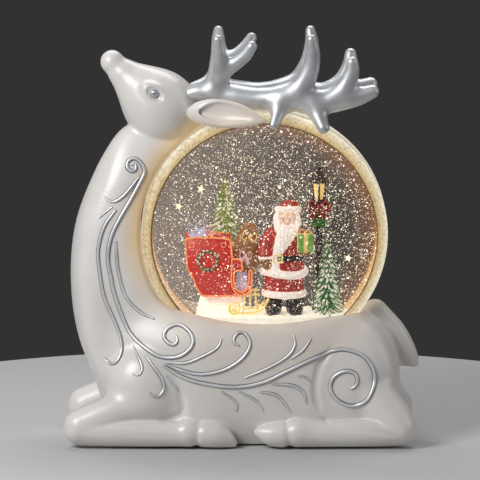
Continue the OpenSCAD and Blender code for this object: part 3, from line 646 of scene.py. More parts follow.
def relax(pts, quads, field, rounds=2, hold=None):
    """Even out the net and pull it back on to the surface."""
    n = len(pts)
    for _ in range(rounds):
        acc, cnt = np.zeros_like(pts), np.zeros(n)
        for a, b in QUAD_EDGES:
            for i, j in ((a, b), (b, a)):
                for k in range(3):
                    acc[:, k] += np.bincount(quads[:, i], weights=pts[quads[:, j], k], minlength=n)
                cnt += np.bincount(quads[:, i], minlength=n)
        new = pts + 0.5 * (acc / np.maximum(cnt, 1)[:, None] - pts)
        new -= field.gradient(new) * np.clip(field.sample(new), -0.6, 0.6)[:, None]
        if hold is not None:
            new[hold] = pts[hold]
        pts = new
    return pts


def polish(pts, quads, rounds):
    """Smooth a net without shrinking it, by steps out and back."""
    q, n = np.asarray(quads), len(pts)
    ends = np.concatenate([q[:, [a, b]] for a, b in QUAD_EDGES])
    one, other = ends.T
    count = np.bincount(ends.ravel(), minlength=n)[:, None]
    for step in (0.5, -0.52) * rounds:
        total = np.stack([np.bincount(one, pts[other, k], n) + np.bincount(other, pts[one, k], n)
                          for k in range(3)], 1)
        pts = pts + step * (total / np.maximum(count, 1) - pts)
    return pts


# ---- the reindeer ----

HEAD = [(-81.4, 0, 238.6, 7.4), (-76.8, 0, 234.2, 7.4), (-69.2, 0, 227.8, 10.7), (-60.4, 0, 219.4, 16.9),
        (-53.6, 0, 212.8, 21.7), (-50, 0, 209.6, 22.6), (-47.6, 0, 207.4, 21.4)]
JAW = [(-75, 0, 230.6, 7.6), (-66, 0, 218.2, 9.8), (-55.4, 0, 205, 13.8), (-49.6, 0, 199.2, 11.8)]
NECK = [(-53.5, 0, 202, 12.5), (-60.5, 0, 188, 15.6), (-66, 0, 180, 18), (-75, 0, 160, 20),
        (-81, 0, 131, 24.5), (-80, 0, 100, 28), (-72, 0, 70, 31.5), (-56.5, 0, 42, 33)]
NAPE = [(-30.5, 0, 206, 11), (-37, 0, 199, 12.5), (-45, 0, 190, 14), (-54, 0, 180, 15), (-60, 0, 170, 17),
        (-66, 0, 150, 19), (-68, 0, 131, 21), (-64, 0, 105, 24), (-54, 0, 82, 26)]
FOREARM = [(-66, -30, 27, 13.5), (-84, -35.5, 20.5, 11.5), (-101, -38, 13.8, 10.6)]
SHIN = [(-101.3, -38, 12.4, 10.9), (-90, -39, 10.8, 9.7), (-60, -40.5, 9.2, 8.3), (-40, -41, 9.2, 8.0),
        (-34, -41, 9.8, 8.9), (-31, -41, 9.4, 7.8)]
PASTERN = [(-28, -41.3, 9, 6.6), (-24, -41.4, 9, 7.4)]
FORE_HOOF = [(-23, -41.4, 8.9, 8.3), (-15.5, -41.8, 8.4, 7.9), (-10, -42, 6.2, 5.6), (-5.8, -42.2, 3.7, 2.9)]
SHANK = [(84, -30, 30, 14), (94, -36, 19, 12), (99, -38.8, 12.6, 10.4)]
CANNON = [(98.6, -39, 11.4, 10.2), (80, -40, 9.6, 8.8), (52, -41, 9, 8.2), (40, -41.2, 9.6, 8.8),
          (35, -41.3, 10, 9.2), (32, -41.3, 9.6, 8)]
HIND_PASTERN = [(30, -41.5, 9.2, 6.4), (26, -41.7, 9, 7.2)]
HIND_HOOF = [(24.6, -41.8, 8.7, 8.1), (19, -41.8, 8.8, 7.2), (13.6, -42, 9.8, 4.8), (9.6, -42.2, 10.6, 2.3)]
CREASES = [  # (X, Z) lines pressed into the flank: round the haunch and behind the shoulder
    [(56, 63), (50.4, 56), (47.4, 48.6), (45.8, 38), (47, 28.6), (49, 23.4)],
    [(-39.5, 37), (-37.6, 30), (-37, 24), (-40.3, 19.6), (-50.5, 18.2)]]
SHANK_FOLD = [(50, 19), (56, 15.4), (66, 13.8), (76, 12.8), (86, 11.4), (95, 9.4)]
TAIL = [(84, 0, 80, 8), (95, 0, 67, 8.4), (102, 0, 57.2, 7), (107, 0, 50, 4.6), (110.4, 0, 46.6, 1.5)]
TAIL_UNDER = [(97, 0, 52, 6.5), (104, 0, 48.6, 3.6), (109.4, 0, 46.3, 1.5)]


def globe_distance(x, y, z, gap):
    """Distance to the outside of the globe's form, which is turned about the Y axis through its centre."""
    r = np.sqrt((x - GX) ** 2 + (z - GZ) ** 2)
    h = np.abs(y)
    band = r - GLOBE_R
    slope = np.hypot(GLOBE_R - WINDOW_R, WINDOW_HALF - RIM_HALF)
    bevel = ((r - GLOBE_R) * (WINDOW_HALF - RIM_HALF) + (h - RIM_HALF) * (GLOBE_R - WINDOW_R)) / slope
    dome = np.sqrt(r ** 2 + (h - (CROWN - DOME_R)) ** 2) - DOME_R
    return np.maximum(np.maximum(band, bevel), dome) - gap


def add_trunk(f):
    x, y, z = f.grid()
    c, r, p = (5.5, 0, 40), (93.5, 41.5, 52), (3.0, 2.5, 3.0)
    u = [np.maximum(np.abs(a - b) / s, 1e-4) for a, b, s in zip((x, y, z), c, r)]
    total = sum(a ** q for a, q in zip(u, p))
    grad = np.sqrt(sum((q / s * a ** (q - 1)) ** 2 for a, q, s in zip(u, p, r)))
    f.f = np.minimum(f.f, ((total - 1) / np.maximum(grad, 0.01)).astype(np.float32))
    f.f = np.clip(f.f, -40, 40)
    f.cut(np.hypot(x - GX, z - 226.5) - 150.0, 7.0)


def on_field(field, x, z, lift):
    """Points on the left side of a form at x, z, marched in from -Y and lifted along its normal."""
    x, z = np.asarray(x, float), np.asarray(z, float)
    y = np.full(len(x), -50.0)
    live = np.ones(len(x), bool)
    for _ in range(240):
        d = field.sample(np.stack([x, y, z], 1))
        live &= (d > 0.02) & (y < -4)
        y = np.where(live, y + np.clip(d, 0.02, 0.35), y)
    p = np.stack([x, y, z], 1)
    return p + field.gradient(p, 1.2) * lift


def press_line(field, line, depth, blend, forms):
    """Press a soft groove along (X, Z) points into the left side; it fades out at both ends."""
    at = spline(line, 40)
    fade = np.minimum(1, np.sin(np.linspace(0, np.pi, 40)) * 1.6)
    balls = np.column_stack([on_field(field, at[:, 0], at[:, 1], 1.1), 0.9 + depth * fade])
    for form in forms:
        form.limb(balls, blend, n=80, carve=True)


BODY_WALL = 2.6
# (X, Y) of each post for a base screw, and the way its rib runs to the wall
SCREW_POSTS = (((-74, -11), (-1, 0)), ((38, -25), (0, -1)), ((80, -11), (1, 0)))
POST_R, POST_BORE_R, POST_MID_Z, POST_HALF = 4.5, 1.75, 11.0, 6.0
GRID_HALF_DEPTH = 51
# the opening in the underside for the base plate: a box with these half sizes, grown by its corner radius
OPENING_X, OPENING_HALF_LENGTH, OPENING_HALF_WIDTH, OPENING_CORNER_R = 2.0, 70.0, 18.0, 12.4
WELL_R, WELL_MID_Z, WELL_HALF = 35.0, 49.0, 19.0  # the round room for the drive under the globe
EYE_AT = np.array([-54.9, -17.0, 220.8])
EYE_BACKING = (-54.5, -17.0, 219.5)  # kept solid, so that the socket doesn't break into the hollow
EYE_BACKING_R = 9.0


def add_screw_posts(f, core):
    """Drilled bosses for the base screws, each with a rib that ties it to the wall."""
    x, y, z = f.grid()
    tall = np.abs(z - POST_MID_Z) - POST_HALF
    for (sx, sy), (wx, wy) in SCREW_POSTS:
        across = np.hypot(x - sx, y - sy)
        rib = np.maximum(np.abs(x - (sx + 8 * wx)) - (8.0 if wx else 1.5),
                         np.abs(y - (sy + 8 * wy)) - (8.0 if wy else 1.5))
        form = np.maximum(np.minimum(across - POST_R, rib), tall)
        f.f = np.minimum(f.f, np.maximum(form, core + 1.5))
        f.cut(np.maximum(across - POST_BORE_R, z - 15.5))


def sculpt_deer(h):
    m = math.ceil(GRID_HALF_DEPTH / h)
    lo, hi = (-114.2, -(m + 0.5) * h, -0.6), (113.8, 0.5 * h - 1e-4, 249.6)
    f = Field(lo, hi, h)
    neck = Field(lo, hi, h)
    neck.limb(NECK, 0, 1.15, 60)
    neck.limb(NAPE, 5.0, 1.05, 50)
    x, y, z = f.grid()
    u = np.clip((202 - z) / 42, 0, 1)
    neck.cut(11 + 14 * u * u * (3 - 2 * u) - np.abs(y), 6.0)
    neck.cut(np.hypot(x - GX, z - GZ) - GLOBE_R - 0.7, 2.0)
    head = Field(lo, hi, h)
    head.limb(HEAD, 3.0, 0.93, 70)
    head.limb(JAW, 5.0, 0.95, 30)
    neck.f = smooth_min(neck.f, head.f, 1.2)
    add_trunk(f)
    f.f = smooth_min(f.f, neck.f, 12.0)
    core = f.f.copy()
    hollow = Field(lo, hi, h)
    hollow.f = core.copy()
    f.ellipsoid((71, -22, 40), (28.6, 20, 36), 5.5)
    f.ellipsoid((-60.5, -23.5, 35), (26.5, 21.5, 29), 4.0)
    for line in CREASES:
        press_line(f, line, 1.3, 2.2, (f, hollow))
    for upper, lower, pastern, hoof in ((FOREARM, SHIN, PASTERN, FORE_HOOF),
                                        (SHANK, CANNON, HIND_PASTERN, HIND_HOOF)):
        f.limb(upper, 4.0)
        f.limb(lower, 0.7)
        f.limb(pastern, 0.6, n=6)
        f.limb(hoof, 0.6)
    press_line(f, SHANK_FOLD, 0.8, 1.4, (f,))
    f.limb(TAIL, 1.5, 0.8)
    f.limb(TAIL_UNDER, 2.0, 0.6)
    for cleft in ([(-17, -42, 17.4, 0.8), (-11, -42, 13, 0.9), (-5, -42.4, 7.2, 0.9)],
                  [(22, -42, 17.4, 0.8), (15, -42, 15.6, 0.9), (9, -42.2, 13.4, 0.9)]):
        f.limb(cleft, 0.5, carve=True)
    f.ellipsoid((-55, -15.6, 220.5), (9.4, 4.6, 6.2), 2.2, tilt=-38)
    f.ellipsoid((-54.8, -21.2, 220.7), (6.7, 4.0, 4.2), 0.8, tilt=-38, carve=True)
    f.cut(globe_distance(x, y, z, 0.5), 1.2)
    f.cut(z - 1.0, 0.6)
    inner = -(hollow.f + BODY_WALL)
    inner = np.minimum(inner, np.minimum(z - 4.0, globe_distance(x, y, z, 0.5 + BODY_WALL)))
    behind_eye = sum((axis - at) ** 2 for axis, at in zip((x, y, z), EYE_BACKING)) ** 0.5 - EYE_BACKING_R
    inner = np.minimum(inner, behind_eye)
    f.cut(-inner)
    past_end = np.maximum(np.abs(x - OPENING_X) - OPENING_HALF_LENGTH, 0)
    past_side = np.maximum(np.abs(y) - OPENING_HALF_WIDTH, 0)
    opening = np.maximum(past_end ** 2 + past_side ** 2, 1e-6) ** 0.5 - OPENING_CORNER_R
    f.cut(np.maximum(opening, z - 5.0))
    f.cut(np.maximum(np.hypot(x - GX, y) - WELL_R, np.abs(z - WELL_MID_Z) - WELL_HALF))
    add_screw_posts(f, core)
    return f


def cap_and_finish(name, pts, quads, field, side):
    """One half of a body from its net: closed on the middle plane, with normals from the field."""
    me = bpy.data.meshes.new(name + "_body")
    me.from_pydata((pts * MM).tolist(), [], quads.tolist())
    bm = bmesh.new()
    bm.from_mesh(me)
    bm.verts.ensure_lookup_table()
    border = [e for e in bm.edges if e.is_boundary]
    before = set(bm.faces)
    bmesh.ops.triangle_fill(bm, use_beauty=True, edges=border, normal=(0, 1, 0))
    for fc in bm.faces:
        fc.smooth = True
    lid = [fc for fc in bm.faces if fc not in before]
    for fc in lid:
        fc.smooth = False
        if fc.normal.y < 0:
            fc.normal_flip()
    bm.to_mesh(me)
    bm.free()
    normals = field.gradient(np.array([v.co for v in me.vertices]) * 1000, 1.1)
    if side > 0:
        me.transform(Matrix.Diagonal((1, -1, 1, 1)))
        me.flip_normals()
        normals[:, 1] *= -1
    loops = np.zeros(len(me.loops), int)
    me.loops.foreach_get("vertex_index", loops)
    ln = normals[loops]
    flat = (0.0, -float(side), 0.0)
    for p in me.polygons:
        if not p.use_smooth:
            for li in p.loop_indices:
                ln[li] = flat
    me.polygons.foreach_set("use_smooth", [True] * len(me.polygons))
    me.normals_split_custom_set(ln.tolist())
    ob = in_scene(name + "_body", me, PEARL)
    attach(ob, ROOT)
    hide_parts(name + "_body_shell")


PEARL = pearl_paint()
EAR_PEARL = pearl_paint("ear_pearl", 0.22, 0.02)
SILVER = satin_silver()

deer = sculpt_deer(STEP)
pts, quads = deer.net()
seam = np.abs(pts[:, 1]) < 0.02
pts = relax(pts, quads, deer, 2, seam)
pts[seam, 1] = 0
cap_and_finish("left", pts, quads, deer, -1)
cap_and_finish("right", pts, quads, deer, 1)


# ---- antlers, ears, eyes and scrollwork ----

BEAM = [(-36, -7.5, 217.5, 3.4), (-29, -8, 220.4, 5.0), (-19, -10, 220.4, 6.9), (-6, -12, 218.4, 7.7),
        (9, -14, 216.8, 7.2), (24, -16, 217.2, 7.9), (36.5, -17, 216.6, 7.4), (49, -18, 215.8, 6.9),
        (61.5, -18.5, 216.6, 6.6), (72.5, -19, 219.0, 5.8), (81.2, -20, 222.2, 4.3)]
TINES = [
    [(-19, -10.5, 221.5, 6.2), (-15.4, -14, 231, 5.9), (-14.6, -19, 241.5, 5.1), (-15, -24, 249.8, 4.2),
     (-15, -27, 255.4, 3.1)],
    [(-12, -15.5, 234, 4.8), (-5.5, -18.5, 238.8, 4.6), (1.6, -22, 244.8, 4.2), (6, -25, 251, 3.4)],
    [(27, -16.5, 218, 7), (37, -18.5, 225.5, 6.9), (42.4, -21.5, 236.4, 5.6), (44, -24.6, 247.4, 4.4),
     (43.2, -27, 255.6, 3.0)],
    [(56, -18.3, 217.2, 6), (64, -20, 225, 5.8), (68, -22, 233.6, 4.9), (68.6, -24, 241, 3.6)],
    [(24, -17, 215, 6), (22.2, -22.5, 208.4, 4.5), (19.8, -27, 202.0, 3.0)],
    [(44.5, -18, 214.6, 6.4), (47.2, -22, 208, 5.4), (50.6, -27, 200.2, 3.9)]]
EAR = [(-30.4, -18, 208.2, 4.4), (-24.6, -21.8, 209.2, 7.4), (-15, -25.5, 209.2, 9.0),
       (-4.5, -28, 208.2, 8.0), (6, -29.8, 206.4, 4.8), (14, -31, 205.2, 1.3)]
SCROLLS = [  # (radius, points in X and Z), drawn on the flank
    (0.95, [(-69, 176), (-67, 177), (-66, 174), (-68, 172), (-71, 173), (-72, 177), (-68, 180), (-64, 178),
            (-61, 172), (-64, 165), (-70, 154), (-77, 142), (-82, 131), (-84, 118), (-82, 105), (-79, 92),
            (-70, 71), (-55, 59), (-45, 57), (-37, 59), (-31, 65), (-32, 72), (-39, 77), (-46, 75),
            (-49, 70), (-46, 66), (-42, 65), (-40, 68), (-41, 70)]),
    (0.8, [(-64, 169), (-74, 157), (-81, 153), (-86, 156)]),
    (0.6, [(-89, 143), (-85, 147), (-81, 150)]),
    (0.85, [(-79, 148), (-86, 138), (-90, 123), (-89, 108), (-86, 92), (-79, 76), (-75.6, 66), (-75.6, 58),
            (-79, 52.4), (-83, 51.6), (-86, 54.4)]),
    (0.75, [(-79, 129), (-78, 113), (-75, 99), (-72, 92), (-64, 84), (-55, 80)]),
    (0.7, [(-68, 63), (-65.6, 58.4), (-62.6, 52.6), (-62.6, 48.8), (-65.4, 46.4), (-68.4, 47.6)]),
    (0.8, [(-60, 58), (-55.2, 51.5), (-50.6, 45.4), (-48.8, 38.6), (-51.4, 34.2), (-55.2, 33.4),
           (-57.6, 35.8)]),
    (0.65, [(-47, 46), (-43, 41), (-40, 36)]),
    (0.75, [(-46, 54), (-35, 54), (-23, 59), (-15, 64), (-13, 69)]),
    (0.85, [(-48, 53), (-37, 49), (-25, 47), (-11, 50), (0, 57), (5, 65), (3, 71), (-1, 73), (-5, 70),
            (-5, 66), (-2, 65)]),
    (0.95, [(-49, 52), (-37, 45), (-23, 41), (-4, 39), (13, 42), (28, 49), (43, 56), (56, 61), (65, 62),
            (76, 58), (82, 49), (82, 39), (77, 30), (68, 27), (59, 31), (55, 38), (57, 45), (64, 49),
            (70, 48), (72, 44), (71, 40), (68, 38)]),
    (0.75, [(2, 45), (16, 51), (28, 58), (33, 65), (32, 71)]),
    (0.7, [(31, 57), (38, 62), (43, 69)]),
    (0.7, [(-13, 36), (-7, 32), (-3, 28), (-4, 24)]),
    (0.7, [(-2, 36), (6, 32), (11, 28), (13, 24)]),
    (0.75, [(11, 36), (21, 34), (27, 28), (30, 23)]),
    (0.75, [(19, 41), (31, 40), (38, 36), (40, 29)]),
    (0.6, [(35, 46), (40, 45), (43, 42)])]


def from_field(field, rounds=2):
    pts, quads = field.net()
    return relax(pts, quads, field, rounds), quads.tolist()


def both_sides(name, shape, mat, node, slot):
    for side, form in (("left", shape), ("right", mirrored(shape))):
        piece(f"{side}_{name}", *form, mat, replaces=[f"{side}_{node}"] if node else (), slot=slot)


def sculpt_antler():
    f = Field((-42, -34, 196), (88, -1.5, 262), 0.62 * STEP)
    f.limb(BEAM, 2.0, n=60)
    for tine in TINES:
        f.limb(tine, 5.5, n=60)
    pts, quads = from_field(f, 3)
    return polish(pts, quads, 6), quads


def sculpt_ear():
    f = Field((-44, -36, 196), (18, -10, 221), 0.55 * STEP)
    f.limb(EAR, 0.5, 0.40, 40)
    f.limb([(-33, -12, 208.6, 3), (-28, -19, 208.8, 4.4)], 2.0)
    hollow = [(x, y - 1.9, z + 0.7, r - 2.9) for x, y, z, r in EAR[2:5]]
    f.limb([(-26.4, -23.6, 209.6, 1.6)] + hollow + [(9, -31.6, 206.4, 0.5)], 3.0, 0.46, 60, carve=True)
    pts, quads = from_field(f)
    return polish(pts, quads, 5), quads


EYE_R = 3.3


def iris_rings():
    """Two fine dark rings, round the iris and the pupil, seated on the bead."""
    a = turns(40)
    outer = np.stack([0.66 * np.cos(a), np.full(40, -0.75), 0.66 * np.sin(a)], 1)
    outer /= np.linalg.norm(outer, axis=1, keepdims=True)
    inner = np.stack([0.2 * np.cos(a), np.full(40, -0.98), 0.2 * np.sin(a)], 1)
    return join([tube(EYE_AT + EYE_R * d, r, 8, loop=True) for d, r in ((outer, 0.2), (inner, 0.26))])


def even_steps(p, step):
    """The same line with points a step apart, rounded a little at its corners."""
    run = np.concatenate([[0], np.cumsum(np.linalg.norm(np.diff(p, axis=0), axis=1))])
    at = np.linspace(0, run[-1], max(16, int(run[-1] / step)))
    p = np.stack([np.interp(at, run, p[:, k]) for k in range(p.shape[1])], 1)
    for _ in range(5):
        p[1:-1] = 0.5 * p[1:-1] + 0.25 * (p[:-2] + p[2:])
    return p


def draw_scrolls(lift, wide):
    parts = []
    for r, line in SCROLLS:
        s = even_steps(spline(line, 12 * len(line)), 0.7)
        p = on_field(deer, s[:, 0], s[:, 1], lift * r)
        p[1:-1] = 0.5 * p[1:-1] + 0.25 * (p[:-2] + p[2:])
        from_end = 0.7 * np.minimum(np.arange(len(p)), np.arange(len(p))[::-1])
        parts.append(tube(p, wide * r * (0.6 + 0.4 * np.minimum(1, from_end / 9.0)), 10))
    return join(parts)


both_sides("antler", sculpt_antler(), SILVER, "antler", "antler_silver")
both_sides("ear", sculpt_ear(), EAR_PEARL, "ear", "housing")
both_sides("eye_bead", ball(EYE_AT, EYE_R, 36, 24), EYE, "eye", "eye_bead")
both_sides("eye_ring", iris_rings(), SCROLL_EDGE, "eye", "eye_bead")
# The dark band sits lower and wider under each scroll: painted shade round its edges, and the dark paint in
# its grooves.
for label, paint, lift, wide in (("scrollwork", SCROLL, 0.5, 1.06), ("scroll_shade_edges", SCROLL_EDGE, -0.4, 1.6)):
    both_sides(label, draw_scrolls(lift, wide), paint, None, "antler_silver")


# ---- the water globe ----

def rounded(points, radii, n=4):
    """Round the corners of an open outline; points and radii line up, ends stay."""
    p = np.asarray(points, float)
    out = [p[0]]
    for a, b, c, r in zip(p[:-2], p[1:-1], p[2:], radii[1:-1]):
        u, v = (a - b) / np.linalg.norm(a - b), (c - b) / np.linalg.norm(c - b)
        k = min(r, 0.45 * np.linalg.norm(a - b), 0.45 * np.linalg.norm(c - b))
        t = np.linspace(0, 1, n)[:, None]
        out += list((1 - t) ** 2 * (b + k * u) + 2 * t * (1 - t) * b + t ** 2 * (b + k * v))
    return np.array(out + [p[-1]])


def dome_arc(inset, r_end, n=22):
    """From the crown to radius r_end along the domed face."""
    r = np.linspace(0, r_end, n)
    return [(a, CROWN - DOME_R + math.sqrt((DOME_R - inset) ** 2 - a * a)) for a in r]


def half_globe_profile():
    outer = dome_arc(0, WINDOW_R) + [tuple(q) for q in rounded([(WINDOW_R, WINDOW_HALF),
                                                                (WINDOW_R + 0.5, WINDOW_HALF + 0.55),
                                                                (WINDOW_R + 1.6, WINDOW_HALF - 0.9),
                                                                (GLOBE_R - 0.5, RIM_HALF + 1.2),
                                                                (GLOBE_R, RIM_HALF), (GLOBE_R, 0.0)],
                                                                [0, 0.6, 0.6, 1.2, 1.6, 0])[1:]]
    inner = [(GLOBE_R - WALL, 0.0), (GLOBE_R - WALL, RIM_HALF - WALL / 2),
             (WINDOW_R - WALL / 2, WINDOW_HALF - WALL / 2)]
    return outer + inner + dome_arc(WALL, WINDOW_R - 2.4)[::-1]


def turned_globe(profile, side, sides=144):
    p, f = lathe(profile, sides=sides, about="y")
    p[:, 1] *= side
    return p + (GX, 0, GZ), f


PLUG_FLANGE, PLUG_GAP = 4.5, 0.3
COLLAR_R, COLLAR_TOP = 21.0, 62.0


def globe_shell(name, side):
    """Half of the globe, bored below for its port, and half of the port's collar."""
    ob = piece(name, *turned_globe(half_globe_profile(), side), SHELL,
               replaces=[name.replace("_half", "_shell")], slot="clear_shell")
    lo, hi = box_mm("port_plug")
    bore, bottom = (hi[0] - lo[0]) / 2 - PLUG_FLANGE + PLUG_GAP, lo[2] + 3
    cutter = piece("bore_cutter", *lathe([(0, 40), (bore, 40), (bore, 66), (0, 66)], (GX, 0, 0), 96), SHELL)
    cut = ob.modifiers.new("bore", "BOOLEAN")
    cut.operation, cut.solver, cut.object = "DIFFERENCE", "EXACT", cutter
    fixed = bpy.data.meshes.new_from_object(ob.evaluated_get(bpy.context.evaluated_depsgraph_get()))
    ob.modifiers.clear()
    ob.data = fixed
    bpy.data.objects.remove(cutter)
    a = np.linspace(0, np.pi, 49)
    ring = [(np.cos(a) * r, side * np.abs(np.sin(a)) * r, z) for r, z in
            ((bore, bottom), (COLLAR_R, bottom), (COLLAR_R, COLLAR_TOP), (bore, COLLAR_TOP))]
    pts = np.stack([np.stack([x + GX, y, np.full(len(a), z)], 1) for x, y, z in ring], 1).reshape(-1, 3)
    piece(name + "_port", pts, ring_faces(len(a), len(ring)), SHELL, smooth=False, slot="clear_shell")


def in_globe(points, gap):
    return globe_distance(points[:, 0], points[:, 1], points[:, 2], -gap) < 0


FLAKES_TRIED = 26000  # those that fall inside the fluid are kept


def glitter():
    """Loose flakes hanging in the fluid, each a small closed foil lozenge."""
    rng = np.random.default_rng(7)
    p = rng.uniform((GX - 76, 0, GROUND), (GX + 76, 1, GZ + 76), (FLAKES_TRIED, 3))
    near = rng.random(len(p)) < 0.72
    p[:, 1] = np.where(near, -34 * p[:, 1] ** 0.6, 30 * p[:, 1])
    p = p[in_globe(p, WALL + 1.6)]
    size = rng.choice([0.22, 0.32, 0.44, 0.6, 0.85], len(p), p=[0.40, 0.35, 0.17, 0.06, 0.02])
    return lozenges(p, size, rng)


def lozenges(p, size, rng):
    a = rng.normal(size=(len(p), 3))
    a /= np.linalg.norm(a, axis=1, keepdims=True)
    b = np.cross(a, rng.normal(size=(len(p), 3)))
    b /= np.linalg.norm(b, axis=1, keepdims=True)
    c = np.cross(a, b)
    s = size[:, None]
    thick = 0.35 * s * c
    v = np.stack([p + s * a, p + s * b, p - s * a, p - s * b, p + thick, p - thick], 1).reshape(-1, 3)
    one = [(0, 1, 4), (1, 2, 4), (2, 3, 4), (3, 0, 4), (1, 0, 5), (2, 1, 5), (3, 2, 5), (0, 3, 5)]
    return v, [[6 * i + k for k in f] for i in range(len(p)) for f in one]


globe_shell("front_globe_half", -1)
globe_shell("rear_globe_half", 1)
water = dome_arc(WALL + 0.5, WINDOW_R - 2.8) + [(WINDOW_R - 1.5, WINDOW_HALF - 1.7),
                                                (GLOBE_R - WALL - 0.4, RIM_HALF - 1.7)]
piece("globe_water", *turned_globe(water + [(r, -h) for r, h in water[::-1]], 1, 128), WATER,
      replaces=["globe_fluid"], slot="fluid")
piece("glitter_flakes", *glitter(), GLITTER, smooth=False, replaces=["globe_fluid"], slot="fluid")
# Warm sparks: glowing balls with star rays, painted glints of light in the fluid.
sparks = np.array([(-26, 14, 156), (-40, 14, 145), (67, 8, 113)])
rays = [(math.cos(a), -0.4, math.sin(a)) for a in turns(10)]
stars = [spikes([c] * 10, rays, [3.4, 2.0] * 5, 0.42, 5) for c in sparks]
piece("warm_sparks", *join([ball(c, 1.0, 14, 10) for c in sparks] + stars), GLINT_GLOW, slot="lamp_amber")


# ---- snow, trees and lamp ----

SLEIGH_X, MOUND_Z = -15.5, 91.0


def snow():
    f = Field((GX - 76, -31, 64), (GX + 76, 31, 96), 0.9 * STEP)
    x, y, z = f.grid()
    top = GROUND + 0.5 + 0.6 * np.sin(x * 0.31 + 1) * np.cos(y * 0.37) + 0.35 * np.sin(x * 0.9 + y * 0.8)
    hill = np.clip(1 - (np.maximum(np.hypot(x - SLEIGH_X, (y - 2) * 1.15) - 9.5, 0) / 7.5) ** 2, 0, 1)
    top = np.maximum(top, GROUND + (MOUND_Z + 1.6 - GROUND) * hill ** 0.55 * (hill > 0))
    top = top + 2.2 * np.exp(-((x - 54) / 14) ** 2 - ((y + 6) / 12) ** 2)
    top = top + 1.2 * np.exp(-((x - 16) / 9) ** 2 - ((y - 8) / 9) ** 2)
    drop = np.clip((-25.5 - x) / 4.5, 0, 1)
    top = np.maximum(top - 14 * drop, GROUND - 8.5)
    edge = np.maximum(np.hypot(x - GX, y) - 58, 0) * 0.02
    drift = np.maximum(z - (top + edge), 66.6 - z)
    f.f = np.maximum(drift, globe_distance(x, y, z, -WALL - 0.5)).astype(np.float32)
    return from_field(f, 1)


def pine(at, height, radius, tiers, seed, snowy, spread):
    """Needled boughs in tiers round a stem; returns the green and the snow shapes."""
    rng = np.random.default_rng(seed)
    stem = tube([(0, 0, 0), (0, 0, height * 0.5), (0, 0, height * 0.96)], [1.5, 1.0, 0.35], 8)
    green, white = [stem], []
    for i in range(tiers):
        u = i / tiers
        z = 3 + (height - 6) * u
        reach = radius * min(1, (1 - u) / spread) ** 0.85 + 0.8
        count = int(8 + 9 * (1 - u))
        for k in range(count):
            a = 2 * np.pi * (k + rng.uniform(-0.3, 0.3)) / count + i * 0.7
            l = reach * rng.uniform(0.82, 1.08)
            out = np.array([math.cos(a), math.sin(a), 0])
            z0 = z + rng.uniform(-0.5, 0.5) + 2.2
            path = [out * (0.3 * s) * l / 0.3 + (0, 0, z0 - s * (1.1 + 0.34 * l * s))
                    for s in np.linspace(0, 1, 5)]
            green.append(tube(path, [1.0, 1.1, 1.0, 0.75, 0.3], 6, dome=False, flat=((0, 0, 1), 0.5)))
            p = np.array(path)
            t = rng.uniform(0.15, 1, 13)
            base = np.stack([np.interp(t, np.linspace(0, 1, 5), p[:, j]) for j in range(3)], 1)
            d = out * 0.9 + rng.normal(0, 0.55, (13, 3)) + (0, 0, -0.25)
            green.append(spikes(base, d, rng.uniform(1.3, 2.3, 13), 0.28))
            if rng.random() < snowy:
                s = rng.uniform(0.62, 0.82)
                tip = [np.interp(q, np.linspace(0, 1, 5), p[:, j]) for q in (s - 0.25, s, s + 0.14)
                       for j in range(3)]
                cap = np.array(tip).reshape(3, 3) + (0, 0, 0.62)
                white.append(tube(cap, rng.uniform(0.5, 0.85) * np.array([0.6, 1, 0.55]), 7,
                                  flat=((0, 0, 1), 0.7)))
    for k in range(5):
        lean = (math.cos(k * 1.26) * 0.3, math.sin(k * 1.26) * 0.3, 1)
        green.append(spikes([(0, 0, height - 4)], [lean], 4.0, 0.5, 4))
    return [(p + at, f) for p, f in (join(green), join(white))]


for label, at, height, radius, tiers, seed, snowy, spread, leaf in (
        ("back_pine", (-10.7, 16.2, GROUND), 86, 8.4, 25, 3, 0.5, 0.30, LIME),
        ("front_pine", (53.9, -7, GROUND), 48.5, 10.4, 14, 5, 0.92, 1.0, GREEN)):
    needles, caps = pine(at, height, radius, tiers, seed, snowy, spread)
    piece(label + "_boughs", *needles, leaf, smooth=False, replaces=[label + "_tree"], slot="painted_green")
    piece(label + "_snow", *caps, FUR, replaces=[label + "_tree"], slot="snow")

piece("snow_field", *snow(), SNOW, replaces=["snow_ground"], slot="snow")

LAMP = np.array([48.5, 9.0, GROUND])


def lamp():
    post = lathe([(0, -1), (4.6, -1), (4.6, 0.6), (3.9, 1.5), (4.1, 2.4), (3.0, 3.4), (2.5, 6.5),
                  (2.9, 7.4), (2.0, 8.4), (1.8, 30), (1.75, 62), (2.5, 62.6), (2.6, 63.8), (1.7, 64.5),
                  (1.9, 68), (3.4, 69.6), (4.9, 70.4), (5.1, 71.4), (0, 71.4)], LAMP, 28)
    flutes = [tube([(1.8 * math.cos(a), 1.8 * math.sin(a), 9), (1.7 * math.cos(a), 1.7 * math.sin(a), 61)],
                   0.28, 6) for a in turns(8)]
    bars = [tube([(3.5 * math.cos(a), 3.5 * math.sin(a), 71), (5.2 * math.cos(a), 5.2 * math.sin(a), 82.4)],
                 0.62, 8) for a in np.radians(np.arange(6) * 60 + 30)]
    hoop = lathe([(5.0, 81.9), (5.9, 81.9), (5.9, 82.9), (5.0, 82.9)], sides=6, loop=True)
    roof = lathe([(0, 82.6), (6.9, 82.4), (7.0, 83.1), (5.6, 84.0), (4.3, 86.2), (2.4, 88.4), (1.9, 89.4),
                  (1.1, 89.8), (1.5, 90.7), (0.9, 91.6), (0.35, 93.4), (0, 93.6)], sides=24)
    arms = tube([(-3.4, 0, 66.2), (0, 0, 66.2), (3.4, 0, 66.2)], 0.5, 8)
    return join([post] + [(p + LAMP, f) for p, f in flutes + bars + [hoop, roof, arms]])


